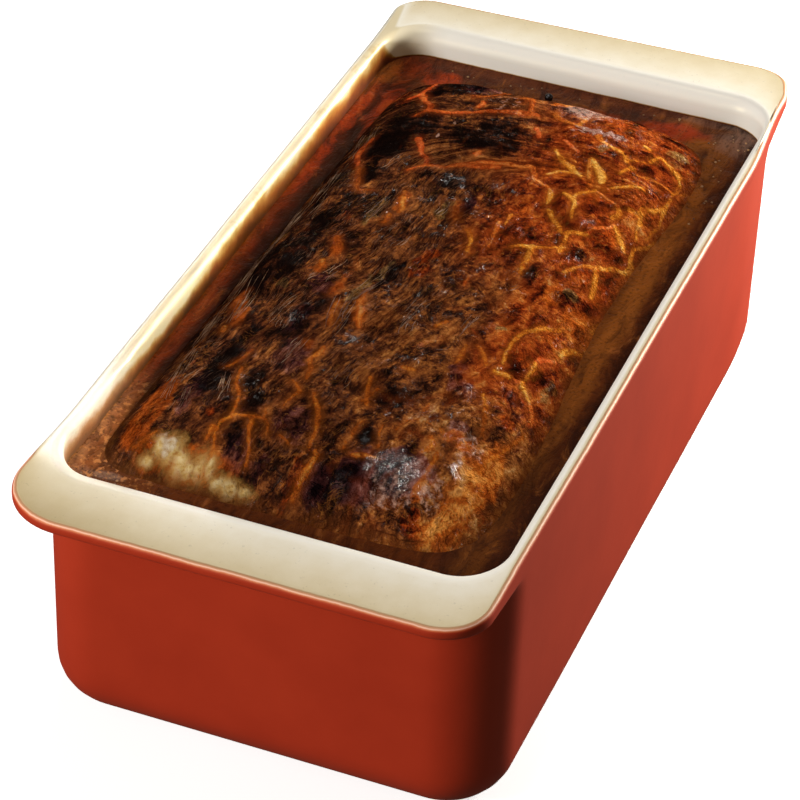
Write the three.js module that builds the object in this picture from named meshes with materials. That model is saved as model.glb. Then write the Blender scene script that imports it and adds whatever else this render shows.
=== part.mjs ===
// A country pate baked in a stoneware terrine, standing in its own set juices.
// Millimetres, +Z up, origin at the centre of the base, +X along the dish.
import * as THREE from 'three';

// Dish: straight long walls, and a flat handle flange at each short end.
const rimLength = 300;
const dishWidth = 135;
const dishHeight = 85;
const flangeReach = 20.4;          // flange past the end wall
const flangeLip = 3.6;             // thickness of the flange at its edge
const flangeTaper = 2.6;           // extra thickness where it meets the wall
const flangeRootRadius = 6;        // hollow between wall and flange
const rimCorner = { farRight: 17, farLeft: 12, nearLeft: 19, nearRight: 14 };
const wallCornerRadius = 20;
const wallDraft = 0.3;             // wall lean per side, base to rim
const baseRadius = 15;             // rounding between wall and base
const lipRadius = 1.4;             // lower edge of the flange
const rimRadius = 1.5;             // upper outer edge all round

// Cavity.
const sideWall = 4.3;
const endWall = 4.5;
const cavityCornerRadius = 13.5;
const cavityDraft = 1.2;           // cavity narrows per side, rim to floor
const floorThickness = 5.5;
const floorRadius = 11;
const sideEdgeRadius = 2;          // inner rim edge on the long walls
const endEdgeRadius = 4.8;         // inner rim edge at the flanges

// Contents.
const contactGap = 0.3;            // clearance between touching solids
const jellyDrop = 8.7;             // jelly surface below the rim
const jellyDepth = 12;
const jellyFoot = 1.7;             // least width of the jelly at its foot
const flankEase = 1.4;             // above 1, the loaf leans out most low down
const footChamfer = 2;
const endShrink = 11.6;            // how far the loaf has drawn in at each end
const leftShrink = 8.2;            // and from the +Y wall
const rightShrink = 12.6;          // and from the -Y wall
const loafCorner = { farRight: 26, farLeft: 20, nearLeft: 14, nearRight: 20 };
const leftTaper = 0.025;           // the +Y side closes in towards the far end
const rightWave = { depth: 2.6, length: 190, crest: -80 };
const edgeRipple = { depth: 0.5, length: 41 };
const domeHeight = 12.5;           // crown above the jelly
const domePower = 4.6;             // higher is flatter on top and steeper at the edge
const lumpHeight = 1.6;
const lumpSize = 18;
const lumpBase = 0.5;              // lumps rise and sink about this share of their height
const lumpFade = 6;                // higher brings the lumps closer to the loaf's edge

// Facets. The dish's walls are straight between its corners, and the contents are not.
const dishFacets = { corner: 8, end: 1, side: 1 };
const foodFacets = { corner: 6, end: 8, side: 30 };
const roundSteps = 5;
const flankSteps = 4;
const domeRings = 15;

const quarter = Math.PI / 2;
const fullTurn = Math.PI * 2;
const jellyTop = dishHeight - jellyDrop;
const jellyFootZ = jellyTop - jellyDepth;

const lerp = THREE.MathUtils.lerp;

// Points of a rounded rectangle, counter-clockwise from the +X, -Y corner.
// Each carries its outward normal and how far it faces the short ends.
function roundedOutline(facets, { halfLength, halfWidth, centre = [0, 0], radii }) {
  const corners = [
    { side: [1, -1], radius: radii.farRight, steps: facets.end },
    { side: [1, 1], radius: radii.farLeft, steps: facets.side },
    { side: [-1, 1], radius: radii.nearLeft, steps: facets.end },
    { side: [-1, -1], radius: radii.nearRight, steps: facets.side },
  ];
  const arcs = corners.map(({ side, radius }, index) => {
    const arcCentre = new THREE.Vector2(
      centre[0] + side[0] * (halfLength - radius),
      centre[1] + side[1] * (halfWidth - radius));
    return Array.from({ length: facets.corner + 1 }, (_, step) => {
      const angle = (index - 1 + step / facets.corner) * quarter;
      const normal = new THREE.Vector2(Math.cos(angle), Math.sin(angle));
      return { at: arcCentre.clone().addScaledVector(normal, radius), normal };
    });
  });
  const points = [];
  arcs.forEach((arc, index) => {
    points.push(...arc);
    const next = arcs[(index + 1) % arcs.length][0];
    const last = arc[facets.corner];
    const { steps } = corners[index];
    for (let step = 1; step < steps; step += 1) {
      const at = last.at.clone().lerp(next.at, step / steps);
      points.push({ at, normal: last.normal });
    }
  });
  return points.map(({ at, normal }) => ({ at, normal, endness: normal.x ** 2 }));
}

// A closed ring: an outline pushed outwards and lifted, both by number or by function of the point.
function ring(outline, offset, height) {
  const value = (rule, point) => (typeof rule === 'function' ? rule(point) : rule);
  return outline.map((point) => {
    const at = point.at.clone().addScaledVector(point.normal, value(offset, point));
    return new THREE.Vector3(at.x, at.y, value(height, point));
  });
}

// Joins rings of equal length. It runs from a flat bottom round the outside to a top that a hub or
// a strip closes; with an open top it closes on its first ring instead.
function skin(rings, top = 'hub') {
  const count = rings[0].length;
  const positions = rings.flat().flatMap((point) => [point.x, point.y, point.z]);
  const faces = [];
  const bands = top === 'open' ? rings.length : rings.length - 1;
  for (let band = 0; band < bands; band += 1) {
    const low = band * count;
    const high = ((band + 1) % rings.length) * count;
    for (let step = 0; step < count; step += 1) {
      const next = (step + 1) % count;
      faces.push(low + step, low + next, high + next, low + step, high + next, high + step);
    }
  }
  if (top !== 'open') faces.push(...hubFaces(positions, 0, count, true));
  if (top === 'hub') faces.push(...hubFaces(positions, (rings.length - 1) * count, count, false));
  if (top === 'strip') faces.push(...stripFaces((rings.length - 1) * count, count, foodFacets));
  const geometry = new THREE.BufferGeometry();
  geometry.setAttribute('position', new THREE.Float32BufferAttribute(positions, 3));
  geometry.setIndex(faces);
  geometry.computeVertexNormals();
  return geometry;
}

// Flat fan round a point in the middle of a ring.
function hubFaces(positions, first, count, downward) {
  const hub = positions.length / 3;
  const middle = new THREE.Vector3();
  const faces = [];
  for (let step = 0; step < count; step += 1) {
    const next = (step + 1) % count;
    middle.add(new THREE.Vector3().fromArray(positions, 3 * (first + step)));
    faces.push(hub, first + (downward ? next : step), first + (downward ? step : next));
  }
  positions.push(...middle.divideScalar(count));
  return faces;
}

// Strip of quads across a narrow ring: its two long sides are paired from the middle of the +X end.
function stripFaces(first, count, facets) {
  const start = facets.corner + facets.end / 2;
  const left = (step) => first + ((start + step) % count);
  const right = (step) => first + ((start - step + count) % count);
  const faces = [];
  for (let step = 0; step < count / 2; step += 1) {
    if (step > 0) faces.push(right(step), left(step), left(step + 1));
    if (step + 1 < count / 2) faces.push(right(step), left(step + 1), right(step + 1));
  }
  return faces;
}

const fractions = (steps, from = 0) =>
  Array.from({ length: steps + 1 - from }, (_, index) => (index + from) / steps);

const sameCorners = (radius) => ({ farRight: radius, farLeft: radius, nearLeft: radius, nearRight: radius });

// Outlines at the rim, the wall and the cavity, and the cavity again with the contents' facets.
const rimOutline = roundedOutline(dishFacets, {
  halfLength: rimLength / 2, halfWidth: dishWidth / 2, radii: rimCorner,
});
const wallHalfLength = rimLength / 2 - flangeReach;
const wallOutline = roundedOutline(dishFacets, {
  halfLength: wallHalfLength, halfWidth: dishWidth / 2, radii: sameCorners(wallCornerRadius),
});
const cavity = {
  halfLength: wallHalfLength - endWall,
  halfWidth: dishWidth / 2 - sideWall,
  radii: sameCorners(cavityCornerRadius),
};
const cavityOutline = roundedOutline(dishFacets, cavity);
const fillOutline = roundedOutline(foodFacets, cavity);

const wallOffset = (height) => -wallDraft * (1 - height / dishHeight);
const cavityOffset = (height) => -cavityDraft * (1 - height / dishHeight);

// Quarter-round between a floor at `bottom` and a wall, as rings from the floor up.
function footRings(outline, wallShift, bottom, radius, extra = 0) {
  return fractions(roundSteps).map((part) => {
    const angle = part * quarter;
    const height = bottom + radius * (1 - Math.cos(angle));
    return ring(outline, wallShift(height) - extra - radius * (1 - Math.sin(angle)), height);
  });
}

function makeDish() {
  const rootZ = dishHeight - flangeLip - flangeTaper - flangeRootRadius;
  const outside = footRings(wallOutline, wallOffset, 0, baseRadius);
  outside.push(ring(wallOutline, wallOffset(rootZ), rootZ));

  const root = fractions(roundSteps, 1).map((part) => {
    const angle = part * quarter;
    const height = rootZ + flangeRootRadius * Math.sin(angle);
    const reach = (flangeRootRadius * (1 - Math.cos(angle))) / flangeReach;
    return ring(wallOutline, wallOffset(height), height)
      .map((point, index) => towardsRim(point, index, reach));
  });

  const lip = [
    ring(rimOutline, ({ endness }) => -lipRadius * endness, dishHeight - flangeLip),
    ring(rimOutline, 0, dishHeight - flangeLip + lipRadius),
  ];
  const outerEdge = fractions(roundSteps).map((part) => {
    const angle = part * quarter;
    const height = dishHeight - rimRadius * (1 - Math.sin(angle));
    return ring(rimOutline, -rimRadius * (1 - Math.cos(angle)), height);
  });
  const innerEdge = fractions(roundSteps).map((part) => {
    const angle = part * quarter;
    const radius = ({ endness }) => lerp(sideEdgeRadius, endEdgeRadius, endness);
    return ring(cavityOutline,
      (point) => radius(point) * (1 - Math.sin(angle)),
      (point) => dishHeight - radius(point) * (1 - Math.cos(angle)));
  });
  const inside = footRings(cavityOutline, cavityOffset, floorThickness, floorRadius).reverse();
  return skin([...outside, ...root, ...lip, ...outerEdge, ...innerEdge, ...inside]);
}

// Moves a point of the wall's outline part of the way to the matching point of the rim's.
function towardsRim(point, index, part) {
  const target = rimOutline[index].at;
  return new THREE.Vector3(lerp(point.x, target.x, part), lerp(point.y, target.y, part), point.z);
}

// The loaf where it leaves the jelly: drawn in from the walls, with its own corners and a slight wave.
const loaf = {
  halfLength: cavity.halfLength - endShrink,
  halfWidth: cavity.halfWidth - (leftShrink + rightShrink) / 2,
  centre: [0, (rightShrink - leftShrink) / 2],
  radii: loafCorner,
};
const loafOutline = roundedOutline(foodFacets, loaf);

// How far the loaf's edge stands out from its plain outline.
function edgeShift({ at, normal }) {
  const wave = rightWave.depth * Math.cos((fullTurn * (at.x - rightWave.crest)) / rightWave.length);
  const taper = -leftTaper * at.x;
  const ripple = edgeRipple.depth * Math.sin((fullTurn * (at.x + 2 * at.y)) / edgeRipple.length);
  return ripple + (normal.y < 0 ? wave * normal.y ** 2 : taper * normal.y ** 2);
}

// Flank of the loaf from the foot of the jelly (0) to its surface (1), eased so that it leans out low down.
function flankRing(part, grow = 0) {
  const height = lerp(jellyFootZ, jellyTop, part);
  const foot = ring(fillOutline, cavityOffset(height) - contactGap - jellyFoot + grow, height);
  const top = ring(loafOutline, (point) => edgeShift(point) + grow, height);
  return foot.map((point, index) => point.lerp(top[index], part ** flankEase));
}

// Rounded lumps on a jittered square grid, from 0 between lumps to 1 on top of one.
function lumps(x, y) {
  const cell = [Math.floor(x / lumpSize), Math.floor(y / lumpSize)];
  let nearest = Infinity;
  for (let column = cell[0] - 1; column <= cell[0] + 1; column += 1) {
    for (let row = cell[1] - 1; row <= cell[1] + 1; row += 1) {
      const centreX = (column + scatter(column, row)) * lumpSize;
      const centreY = (row + scatter(row + 31, column)) * lumpSize;
      nearest = Math.min(nearest, Math.hypot(x - centreX, y - centreY) / lumpSize);
    }
  }
  return Math.max(0, 1 - nearest ** 2);
}

// A repeatable number between 0 and 1 for a grid cell.
function scatter(column, row) {
  const wave = Math.sin(column * 127.1 + row * 311.7) * 43758.5453;
  return wave - Math.floor(wave);
}

function makeLoaf() {
  const bottom = floorThickness + contactGap;
  const below = footRings(fillOutline, cavityOffset, bottom, floorRadius - contactGap, contactGap);
  const shoulderZ = jellyFootZ - footChamfer;
  below.push(ring(fillOutline, cavityOffset(shoulderZ) - contactGap, shoulderZ));
  const flank = fractions(flankSteps).map((part) => flankRing(part));
  const edge = flank.at(-1);
  const dome = fractions(domeRings, 1).slice(0, -1).map((part) => edge.map((point) => domePoint(point, part)));
  return skin([...below, ...flank, ...dome], 'strip');
}

// The dome rises from the loaf's edge (0) to a level spine along its middle (1).
function domePoint(edge, part) {
  const spineHalf = loaf.halfLength - loaf.halfWidth;
  const x = lerp(edge.x, THREE.MathUtils.clamp(edge.x, -spineHalf, spineHalf), part);
  const y = lerp(edge.y, loaf.centre[1], part);
  const rise = domeHeight * (1 - (1 - part) ** domePower);
  const lump = lumpHeight * (lumps(x, y) - lumpBase) * (1 - (1 - part) ** lumpFade);
  return new THREE.Vector3(x, y, jellyTop + rise + lump);
}

function makeJelly() {
  const heights = fractions(flankSteps).map((part) => lerp(jellyFootZ, jellyTop, part));
  const outer = heights.map((height) => ring(fillOutline, cavityOffset(height) - contactGap, height));
  const inner = fractions(flankSteps).map((part) => flankRing(part, contactGap)).reverse();
  return skin([...outer, ...inner], 'open');
}

const stoneware = new THREE.MeshStandardMaterial({ color: 0xa23a1e, roughness: 0.3, metalness: 0 });
const bakedMeat = new THREE.MeshStandardMaterial({ color: 0x5a2c12, roughness: 0.35, metalness: 0 });
const setJuice = new THREE.MeshStandardMaterial({ color: 0x4a2408, roughness: 0.12, metalness: 0 });

function piece(name, geometry, material) {
  const mesh = new THREE.Mesh(geometry, material);
  mesh.name = name;
  return mesh;
}

const pate = new THREE.Group();
pate.add(
  piece('terrine_dish', makeDish(), stoneware),
  piece('pate_loaf', makeLoaf(), bakedMeat),
  piece('juice_jelly', makeJelly(), setJuice),
);

export default pate;
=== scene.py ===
import math
import random
from types import SimpleNamespace

import bmesh
import bpy
import numpy as np
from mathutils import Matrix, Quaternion, Vector


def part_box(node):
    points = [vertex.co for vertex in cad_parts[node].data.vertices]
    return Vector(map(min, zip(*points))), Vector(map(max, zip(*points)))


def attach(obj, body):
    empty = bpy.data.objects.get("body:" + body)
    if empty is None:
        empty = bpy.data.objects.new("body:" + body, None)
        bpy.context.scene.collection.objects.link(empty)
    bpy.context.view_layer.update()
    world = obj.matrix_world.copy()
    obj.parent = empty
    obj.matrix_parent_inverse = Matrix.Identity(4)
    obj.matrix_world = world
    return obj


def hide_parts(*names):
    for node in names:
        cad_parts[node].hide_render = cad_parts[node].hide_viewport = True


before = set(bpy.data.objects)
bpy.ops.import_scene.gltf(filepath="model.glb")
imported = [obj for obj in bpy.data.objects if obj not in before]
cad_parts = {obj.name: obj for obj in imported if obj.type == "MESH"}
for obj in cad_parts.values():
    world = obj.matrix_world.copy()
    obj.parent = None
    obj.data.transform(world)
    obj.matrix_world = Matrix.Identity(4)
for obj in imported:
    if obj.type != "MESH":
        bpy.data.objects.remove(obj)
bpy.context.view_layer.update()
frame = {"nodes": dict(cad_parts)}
print("frame loaded:", ", ".join(frame["nodes"]))

mm = 0.001
_, dishHigh = (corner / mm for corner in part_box("terrine_dish"))
loafLow, loafHigh = (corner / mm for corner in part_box("pate_loaf"))
_, juiceHigh = (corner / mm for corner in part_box("juice_jelly"))
rimZ, juiceZ, crownZ = dishHigh.z, juiceHigh.z, loafHigh.z


# Places in plan and heights are in millimetres.
def smooth(low, high, value):
    part = np.clip((value - low) / (high - low), 0, 1)
    return part * part * (3 - 2 * part)


def hashed(column, row, seed):
    wave = np.sin(column * 127.1 + row * 311.7 + seed * 74.7) * 43758.5453
    return wave - np.floor(wave)


def grain(x, y, seed=0):  # smooth random field, about -0.7 to 0.7, one blob per unit
    column, row = np.floor(x), np.floor(y)
    partX, partY = x - column, y - row
    easeX = partX * partX * partX * (partX * (partX * 6 - 15) + 10)
    easeY = partY * partY * partY * (partY * (partY * 6 - 15) + 10)

    def slope(stepX, stepY):
        angle = hashed(column + stepX, row + stepY, seed) * 2 * math.pi
        return np.cos(angle) * (partX - stepX) + np.sin(angle) * (partY - stepY)

    low = slope(0, 0) + easeX * (slope(1, 0) - slope(0, 0))
    high = slope(0, 1) + easeX * (slope(1, 1) - slope(0, 1))
    return low + easeY * (high - low)


def layered(x, y, seed=0, layers=4, rough=0.55):
    total, size, reach = 0, 1, 0
    for layer in range(layers):
        total = total + size * grain(x * 2 ** layer, y * 2 ** layer, seed + layer * 17)
        reach += size
        size *= rough
    return total / reach


def cells(x, y, seed=0, jitter=0.85):  # how far the two nearest scattered points are
    column, row = np.floor(x), np.floor(y)
    first = np.full(np.shape(x), 9.0)
    second = first.copy()
    for stepX in (-1, 0, 1):
        for stepY in (-1, 0, 1):
            cellX, cellY = column + stepX, row + stepY
            pointX = cellX + 0.5 + jitter * (hashed(cellX, cellY, seed) - 0.5)
            pointY = cellY + 0.5 + jitter * (hashed(cellX, cellY, seed + 9) - 0.5)
            away = np.hypot(x - pointX, y - pointY)
            second = np.minimum(second, np.maximum(first, away))
            first = np.minimum(first, away)
    return first, second


def roundedOutline(halfLength, halfWidth, radii, centre=(0, 0), facets=(16, 24, 60)):
    # Points and outward normals, anticlockwise from the +X, -Y corner.
    corner, end, side = facets
    places, normals = [], []
    signs = [(1, -1), (1, 1), (-1, 1), (-1, -1)]
    for index, (signX, signY) in enumerate(signs):
        radius = radii[index]
        arcCentre = np.array([centre[0] + signX * (halfLength - radius),
                              centre[1] + signY * (halfWidth - radius)])
        angles = (index - 1 + np.arange(corner + 1) / corner) * math.pi / 2
        arc = np.stack([np.cos(angles), np.sin(angles)], 1)
        places += list(arcCentre + arc * radius)
        normals += list(arc)
        steps = side if index % 2 else end
        following = radii[(index + 1) % 4]
        nextSign = signs[(index + 1) % 4]
        nextCentre = np.array([centre[0] + nextSign[0] * (halfLength - following),
                               centre[1] + nextSign[1] * (halfWidth - following)])
        start, stop = arcCentre + arc[-1] * radius, nextCentre + arc[-1] * following
        for step in range(1, steps):
            places.append(start + (stop - start) * step / steps)
            normals.append(arc[-1])
    return np.array(places), np.array(normals)


def wrapRings(name, rings, closed=False, fieldName=None, values=None):
    # A grid rolled up sideways, one ring of points to each row. Its ends are filled, or joined if closed.
    rows, around = len(rings), len(rings[0])
    bm = bmesh.new()
    layer = bm.verts.layers.float.new(fieldName) if fieldName else None
    bmesh.ops.create_grid(bm, x_segments=around, y_segments=rows if closed else rows - 1, size=1)
    stack = np.array(rings) * mm
    lastRow = rows if closed else rows - 1
    for vert in bm.verts:
        column = round((vert.co.x + 1) / 2 * around) % around
        row = round((vert.co.y + 1) / 2 * lastRow) % rows
        vert.co = stack[row][column]
        if layer:
            vert[layer] = values[row]
    bmesh.ops.remove_doubles(bm, verts=bm.verts, dist=1e-7)
    if not closed:
        filled = bmesh.ops.holes_fill(bm, edges=[edge for edge in bm.edges if edge.is_boundary], sides=0)
        bmesh.ops.triangulate(bm, faces=filled["faces"])
    return finishMesh(name, bm)


def finishMesh(name, bm):
    bmesh.ops.recalc_face_normals(bm, faces=bm.faces)
    for face in bm.faces:
        face.smooth = True
    mesh = bpy.data.meshes.new(name)
    bm.to_mesh(mesh)
    bm.free()
    piece = bpy.data.objects.new(name, mesh)
    bpy.context.scene.collection.objects.link(piece)
    return piece


def meshPoints(piece):
    points = np.zeros(len(piece.data.vertices) * 3, np.float32)
    piece.data.vertices.foreach_get("co", points)
    return points.reshape(-1, 3).astype(float) / mm


def placePoints(piece, points):
    piece.data.vertices.foreach_set("co", (points * mm).astype(np.float32).ravel())
    piece.data.update()


def keepField(piece, name, values):
    field = piece.data.attributes.new(name, "FLOAT", "POINT")
    field.data.foreach_set("value", np.asarray(values, np.float32))


def asLight(colour):  # a screen colour, 0 to 255, turned into light; anything else passes
    if not isinstance(colour, tuple) or len(colour) != 3:
        return colour
    channels = [value / 255 for value in colour]
    return [c / 12.92 if c <= 0.04045 else ((c + 0.055) / 1.055) ** 2.4 for c in channels] + [1]


class Look:  # a material and the nodes that feed its shader
    def __init__(self, name):
        self.material = bpy.data.materials.new(name)
        self.material.use_nodes = True
        self.tree = self.material.node_tree
        self.shader = self.tree.nodes["Principled BSDF"]

    def put(self, socket, value):  # links an output, or sets a plain value
        if isinstance(value, bpy.types.NodeSocket):
            self.tree.links.new(value, socket)
        else:
            socket.default_value = value

    def give(self, name, value):  # to one of the shader's sockets
        self.put(self.shader.inputs[name], value)

    def node(self, kind, inputs, **settings):
        made = self.tree.nodes.new(kind)
        for name, value in settings.items():
            setattr(made, name, value)
        for name, value in inputs.items():
            self.put(made.inputs[name], value)
        return made

    def math(self, operation, *values, clamp=False):
        made = self.node("ShaderNodeMath", dict(enumerate(values)), operation=operation, use_clamp=clamp)
        return made.outputs[0]

    def times(self, first, second, clamp=False):
        return self.math("MULTIPLY", first, second, clamp=clamp)

    def sum(self, start, terms):  # start plus each value, less its middle, times its weight
        total = start
        for value, middle, weight in terms:
            total = self.math("ADD", total, self.math("MULTIPLY_ADD", value, weight, -middle * weight))
        return total

    def mix(self, share, first, second, blend="MIX"):
        inputs = {0: share, 6: asLight(first), 7: asLight(second)}
        return self.node("ShaderNodeMix", inputs, data_type="RGBA", blend_type=blend).outputs[2]

    def ramp(self, value, stops):  # stops are place and colour, or place and number
        made = self.node("ShaderNodeValToRGB", {"Fac": value})
        points = made.color_ramp.elements
        while len(points) < len(stops):
            points.new(1)
        for point, (place, colour) in zip(points, stops):
            point.position = place
            point.color = asLight(colour) if isinstance(colour, tuple) else (colour, colour, colour, 1)
        return made.outputs["Color"]

    def fade(self, value, low, high):  # 1 up to the low value, 0 from the high one
        inputs = {"Value": value, "From Min": low, "From Max": high, "To Min": 1, "To Max": 0}
        return self.node("ShaderNodeMapRange", inputs, interpolation_type="SMOOTHSTEP").outputs[0]

    def field(self, name):
        return self.node("ShaderNodeAttribute", {}, attribute_name=name).outputs["Fac"]

    def place(self, stretch=(1, 1, 1)):
        position = self.node("ShaderNodeTexCoord", {}).outputs["Object"]
        return self.node("ShaderNodeMapping", {"Vector": position, "Scale": stretch}).outputs[0]

    def flow(self, longScale, crossScale, seed=0):  # a place that runs along the fibres
        inputs = {"X": self.times(self.field("along"), longScale),
                  "Y": self.times(self.field("across"), crossScale), "Z": seed}
        return self.node("ShaderNodeCombineXYZ", inputs).outputs[0]

    def noise(self, place, scale, detail=4, rough=0.55, warp=0):
        inputs = {"Vector": place, "Scale": scale, "Detail": detail, "Roughness": rough, "Distortion": warp}
        return self.node("ShaderNodeTexNoise", inputs).outputs["Fac"]

    def bump(self, height, strength, distance):
        inputs = {"Height": height, "Strength": strength, "Distance": distance}
        return self.node("ShaderNodeBump", inputs).outputs[0]


view = {  # degrees and millimetres
    "azimuth": -69.8442, "elevation": 36.1903, "roll": 2.2957,
    "distance": 996.74, "aim": (-5.33, 7.94, 40), "lens": 152.81,
}


def makeCamera():
    azimuth, elevation = math.radians(view["azimuth"]), math.radians(view["elevation"])
    level = math.cos(elevation)
    back = Vector((math.sin(azimuth) * level, -math.cos(azimuth) * level, math.sin(elevation)))
    camera = bpy.data.objects.new("camera", bpy.data.cameras.new("camera"))
    camera.data.lens = view["lens"]
    camera.location = (Vector(view["aim"]) + back * view["distance"]) * mm
    roll = Quaternion((0, 0, 1), math.radians(view["roll"]))
    camera.rotation_mode = "QUATERNION"
    camera.rotation_quaternion = (-back).to_track_quat("-Z", "Y") @ roll
    bpy.context.scene.collection.objects.link(camera)
    bpy.context.scene.camera = camera


makeCamera()
print("camera set")

# The dish, built ring by ring: up the outside, over the rim and down the cavity.
dish = {
    "flangeReach": 20.4, "flangeLip": 3.6, "flangeTaper": 2.6,  # flange at each end
    "rootRadius": 6, "lipRadius": 1.4, "rimRadius": 1.5,
    "rimCorners": [17, 12, 19, 14], "wallCorner": 20, "wallDraft": 0.3, "baseRadius": 15,
    "sideWall": 4.3, "endWall": 4.5, "floor": 5.5,
    "cavityCorner": 13.5, "cavityDraft": 1.2, "floorRadius": 11,
    "sideEdge": 2, "endEdge": 4.8,  # inner rim edge along the sides and at the ends
    "leftTrim": 1.2, "farTrim": 4.4, "farPinch": 2.6, "wobble": 0.15,  # hand-made unevenness
    "roundSteps": 8, "wallRings": 8, "topRings": 7, "cavityRings": 14, "cavityTop": 78,
}
rimHalfLength, dishHalfWidth = dishHigh.x, dishHigh.y
wallHalfLength = rimHalfLength - dish["flangeReach"]
cavityHalfLength = wallHalfLength - dish["endWall"]
cavityHalfWidth = dishHalfWidth - dish["sideWall"]


def cavityOffset(height):
    return -dish["cavityDraft"] * (1 - height / rimZ)


def handMade(flat, outside):  # the small unevenness of a pressed and glazed dish
    x, y = flat[:, 0], flat[:, 1]
    wave = dish["wobble"] * grain(x / 45, y / 45, 141)
    left = dish["leftTrim"] * smooth(0, 60, y) * smooth(-135, -100, x)
    left = left * (1 - 0.7 * smooth(110, 150, x))
    pinch = dish["farPinch"] * outside * smooth(88, 128, x) * (1 - smooth(138, 149, x))
    pinch = pinch * smooth(25, 60, -y)
    far = dish["farTrim"] * outside * smooth(120, 148, x) * np.clip((y + 72) / 132, 0, 1)
    return np.stack([x - far, y + wave - left + pinch], 1)


def makeDish():
    rim, rimNormal = roundedOutline(rimHalfLength, dishHalfWidth, dish["rimCorners"])
    wall, wallNormal = roundedOutline(wallHalfLength, dishHalfWidth, [dish["wallCorner"]] * 4)
    cavity, cavityNormal = roundedOutline(cavityHalfLength, cavityHalfWidth, [dish["cavityCorner"]] * 4)
    endness = rimNormal[:, :1] ** 2
    rings, glaze = [], []  # glaze runs from 0, red outside, through 1, the flat top, to 2 in the cavity

    def addRing(flat, height, cream, outside=1):
        rings.append(np.hstack([handMade(flat, outside), np.broadcast_to(height, (len(flat), 1))]))
        glaze.append(cream)

    def wallOffset(height):
        return -dish["wallDraft"] * (1 - height / rimZ)

    arc = np.arange(dish["roundSteps"] + 1) / dish["roundSteps"] * math.pi / 2
    for angle in arc:  # base rounding
        height = dish["baseRadius"] * (1 - math.cos(angle))
        inset = wallOffset(height) - dish["baseRadius"] * (1 - math.sin(angle))
        addRing(wall + wallNormal * inset, height, 0)
    rootZ = rimZ - dish["flangeLip"] - dish["flangeTaper"] - dish["rootRadius"]
    for height in np.linspace(dish["baseRadius"] + 6, rootZ, dish["wallRings"]):
        addRing(wall + wallNormal * wallOffset(height), height, 0)
    for angle in arc[1:]:  # hollow under the flange
        height = rootZ + dish["rootRadius"] * math.sin(angle)
        reach = dish["rootRadius"] * (1 - math.cos(angle)) / dish["flangeReach"]
        flat = wall + wallNormal * wallOffset(height)
        addRing(flat + (rim - flat) * reach, height, 0)
    lipZ = rimZ - dish["flangeLip"]
    for angle in arc:  # lower edge of the lip
        flat = rim - rimNormal * dish["lipRadius"] * (1 - math.sin(angle)) * endness
        addRing(flat, lipZ + dish["lipRadius"] * (1 - math.cos(angle)), 0)
    for angle in arc:  # upper outer edge
        flat = rim - rimNormal * dish["rimRadius"] * (1 - math.cos(angle))
        height = rimZ - dish["rimRadius"] * (1 - math.sin(angle))
        addRing(flat, height, 0.1 + 0.8 * math.degrees(angle) / 90)
    edge = dish["sideEdge"] + (dish["endEdge"] - dish["sideEdge"]) * endness
    outer = rim - rimNormal * dish["rimRadius"]
    for part in np.linspace(0.06, 0.88, dish["topRings"]):  # across the flat top
        flat = outer + (cavity + cavityNormal * edge - outer) * part
        addRing(flat, rimZ, 1 + 0.4 * part, (1 - part) ** 0.5)
    for angle in arc:  # inner edge
        flat = cavity + cavityNormal * edge * (1 - math.sin(angle))
        addRing(flat, rimZ - edge * (1 - math.cos(angle)), 1.5, 0)
    for height in np.linspace(dish["cavityTop"], dish["floor"] + dish["floorRadius"] + 2,
                              dish["cavityRings"]):
        addRing(cavity + cavityNormal * cavityOffset(height), height, 2, 0)
    for angle in arc[::-1]:  # rounding between cavity and floor
        height = dish["floor"] + dish["floorRadius"] * (1 - math.cos(angle))
        inset = cavityOffset(height) - dish["floorRadius"] * (1 - math.sin(angle))
        addRing(cavity + cavityNormal * inset, height, 2, 0)
    return wrapRings("stoneware_dish", rings, fieldName="glaze", values=glaze)


dishPiece = makeDish()
dishX, dishY, dishZ = meshPoints(dishPiece).T
nearLeft = smooth(-62, -95, dishX) * smooth(20, 50, dishY)
leftWall = smooth(45, 58, dishY)
farWall = smooth(112, 120, dishX)
rightWall = smooth(45, 58, -dishY)
stainRise = 6.4 - 3.8 * smooth(-10, -45, dishX) + 1.8 * nearLeft + 1.5 * grain(dishX / 25, dishY / 25, 111)
stainHeight = 1.8 + leftWall * (1 - farWall) * stainRise - 1.3 * farWall - rightWall
dishFields = {
    "stainHeight": np.maximum(0.6, stainHeight),
    # The near-left corner: a real pinkish stain, painted lighter as painted light where the wall lies in
    # shade.
    "paleStainAndLight": nearLeft,
    "leftWall": leftWall,
    "shaded": smooth(5, 55, dishY) * smooth(-121, -130, dishX),
    # leftLip: the cream reaches further down the left lip, and is darkened there as painted shade.
    "leftLip": smooth(60, 69, dishY) * smooth(-128, -112, dishX) * smooth(78, 81, dishZ),
}
for name, values in dishFields.items():
    keepField(dishPiece, name, values)
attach(dishPiece, "root")
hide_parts("terrine_dish")
print("dish made")

# The loaf: plan, dome and broken surface.
loaf = {
    "endShrink": 11.6, "leftShrink": 8.2, "rightShrink": 12.6,  # how far it has drawn in from the walls
    "corners": {"farRight": 26, "farLeft": 20, "nearLeft": 14, "nearRight": 20},
    "leftTaper": 0.025, "waveDepth": 2.6, "waveLength": 190, "waveCrest": -80,
    "rippleDepth": 0.5, "rippleLength": 41,
    "dome": 12.5, "domePower": 4.6, "settle": 1.2, "headroom": 1.5, "lump": 1.6, "lumpSize": 18,
    "relief": {"ridge": 0.4, "pillow": 0.9, "fibre": 0.5, "coarse": 0.9, "pits": -0.6, "lobe": 0.6},
    "strandWidth": 0.72, "nearStrandWidth": 0.52,
    "jellyDepth": 12, "columns": 440, "rows": 205,
}
loafHalfLength = cavityHalfLength - loaf["endShrink"]
loafHalfWidth = cavityHalfWidth - (loaf["leftShrink"] + loaf["rightShrink"]) / 2
loafMiddle = (loaf["rightShrink"] - loaf["leftShrink"]) / 2
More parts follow.
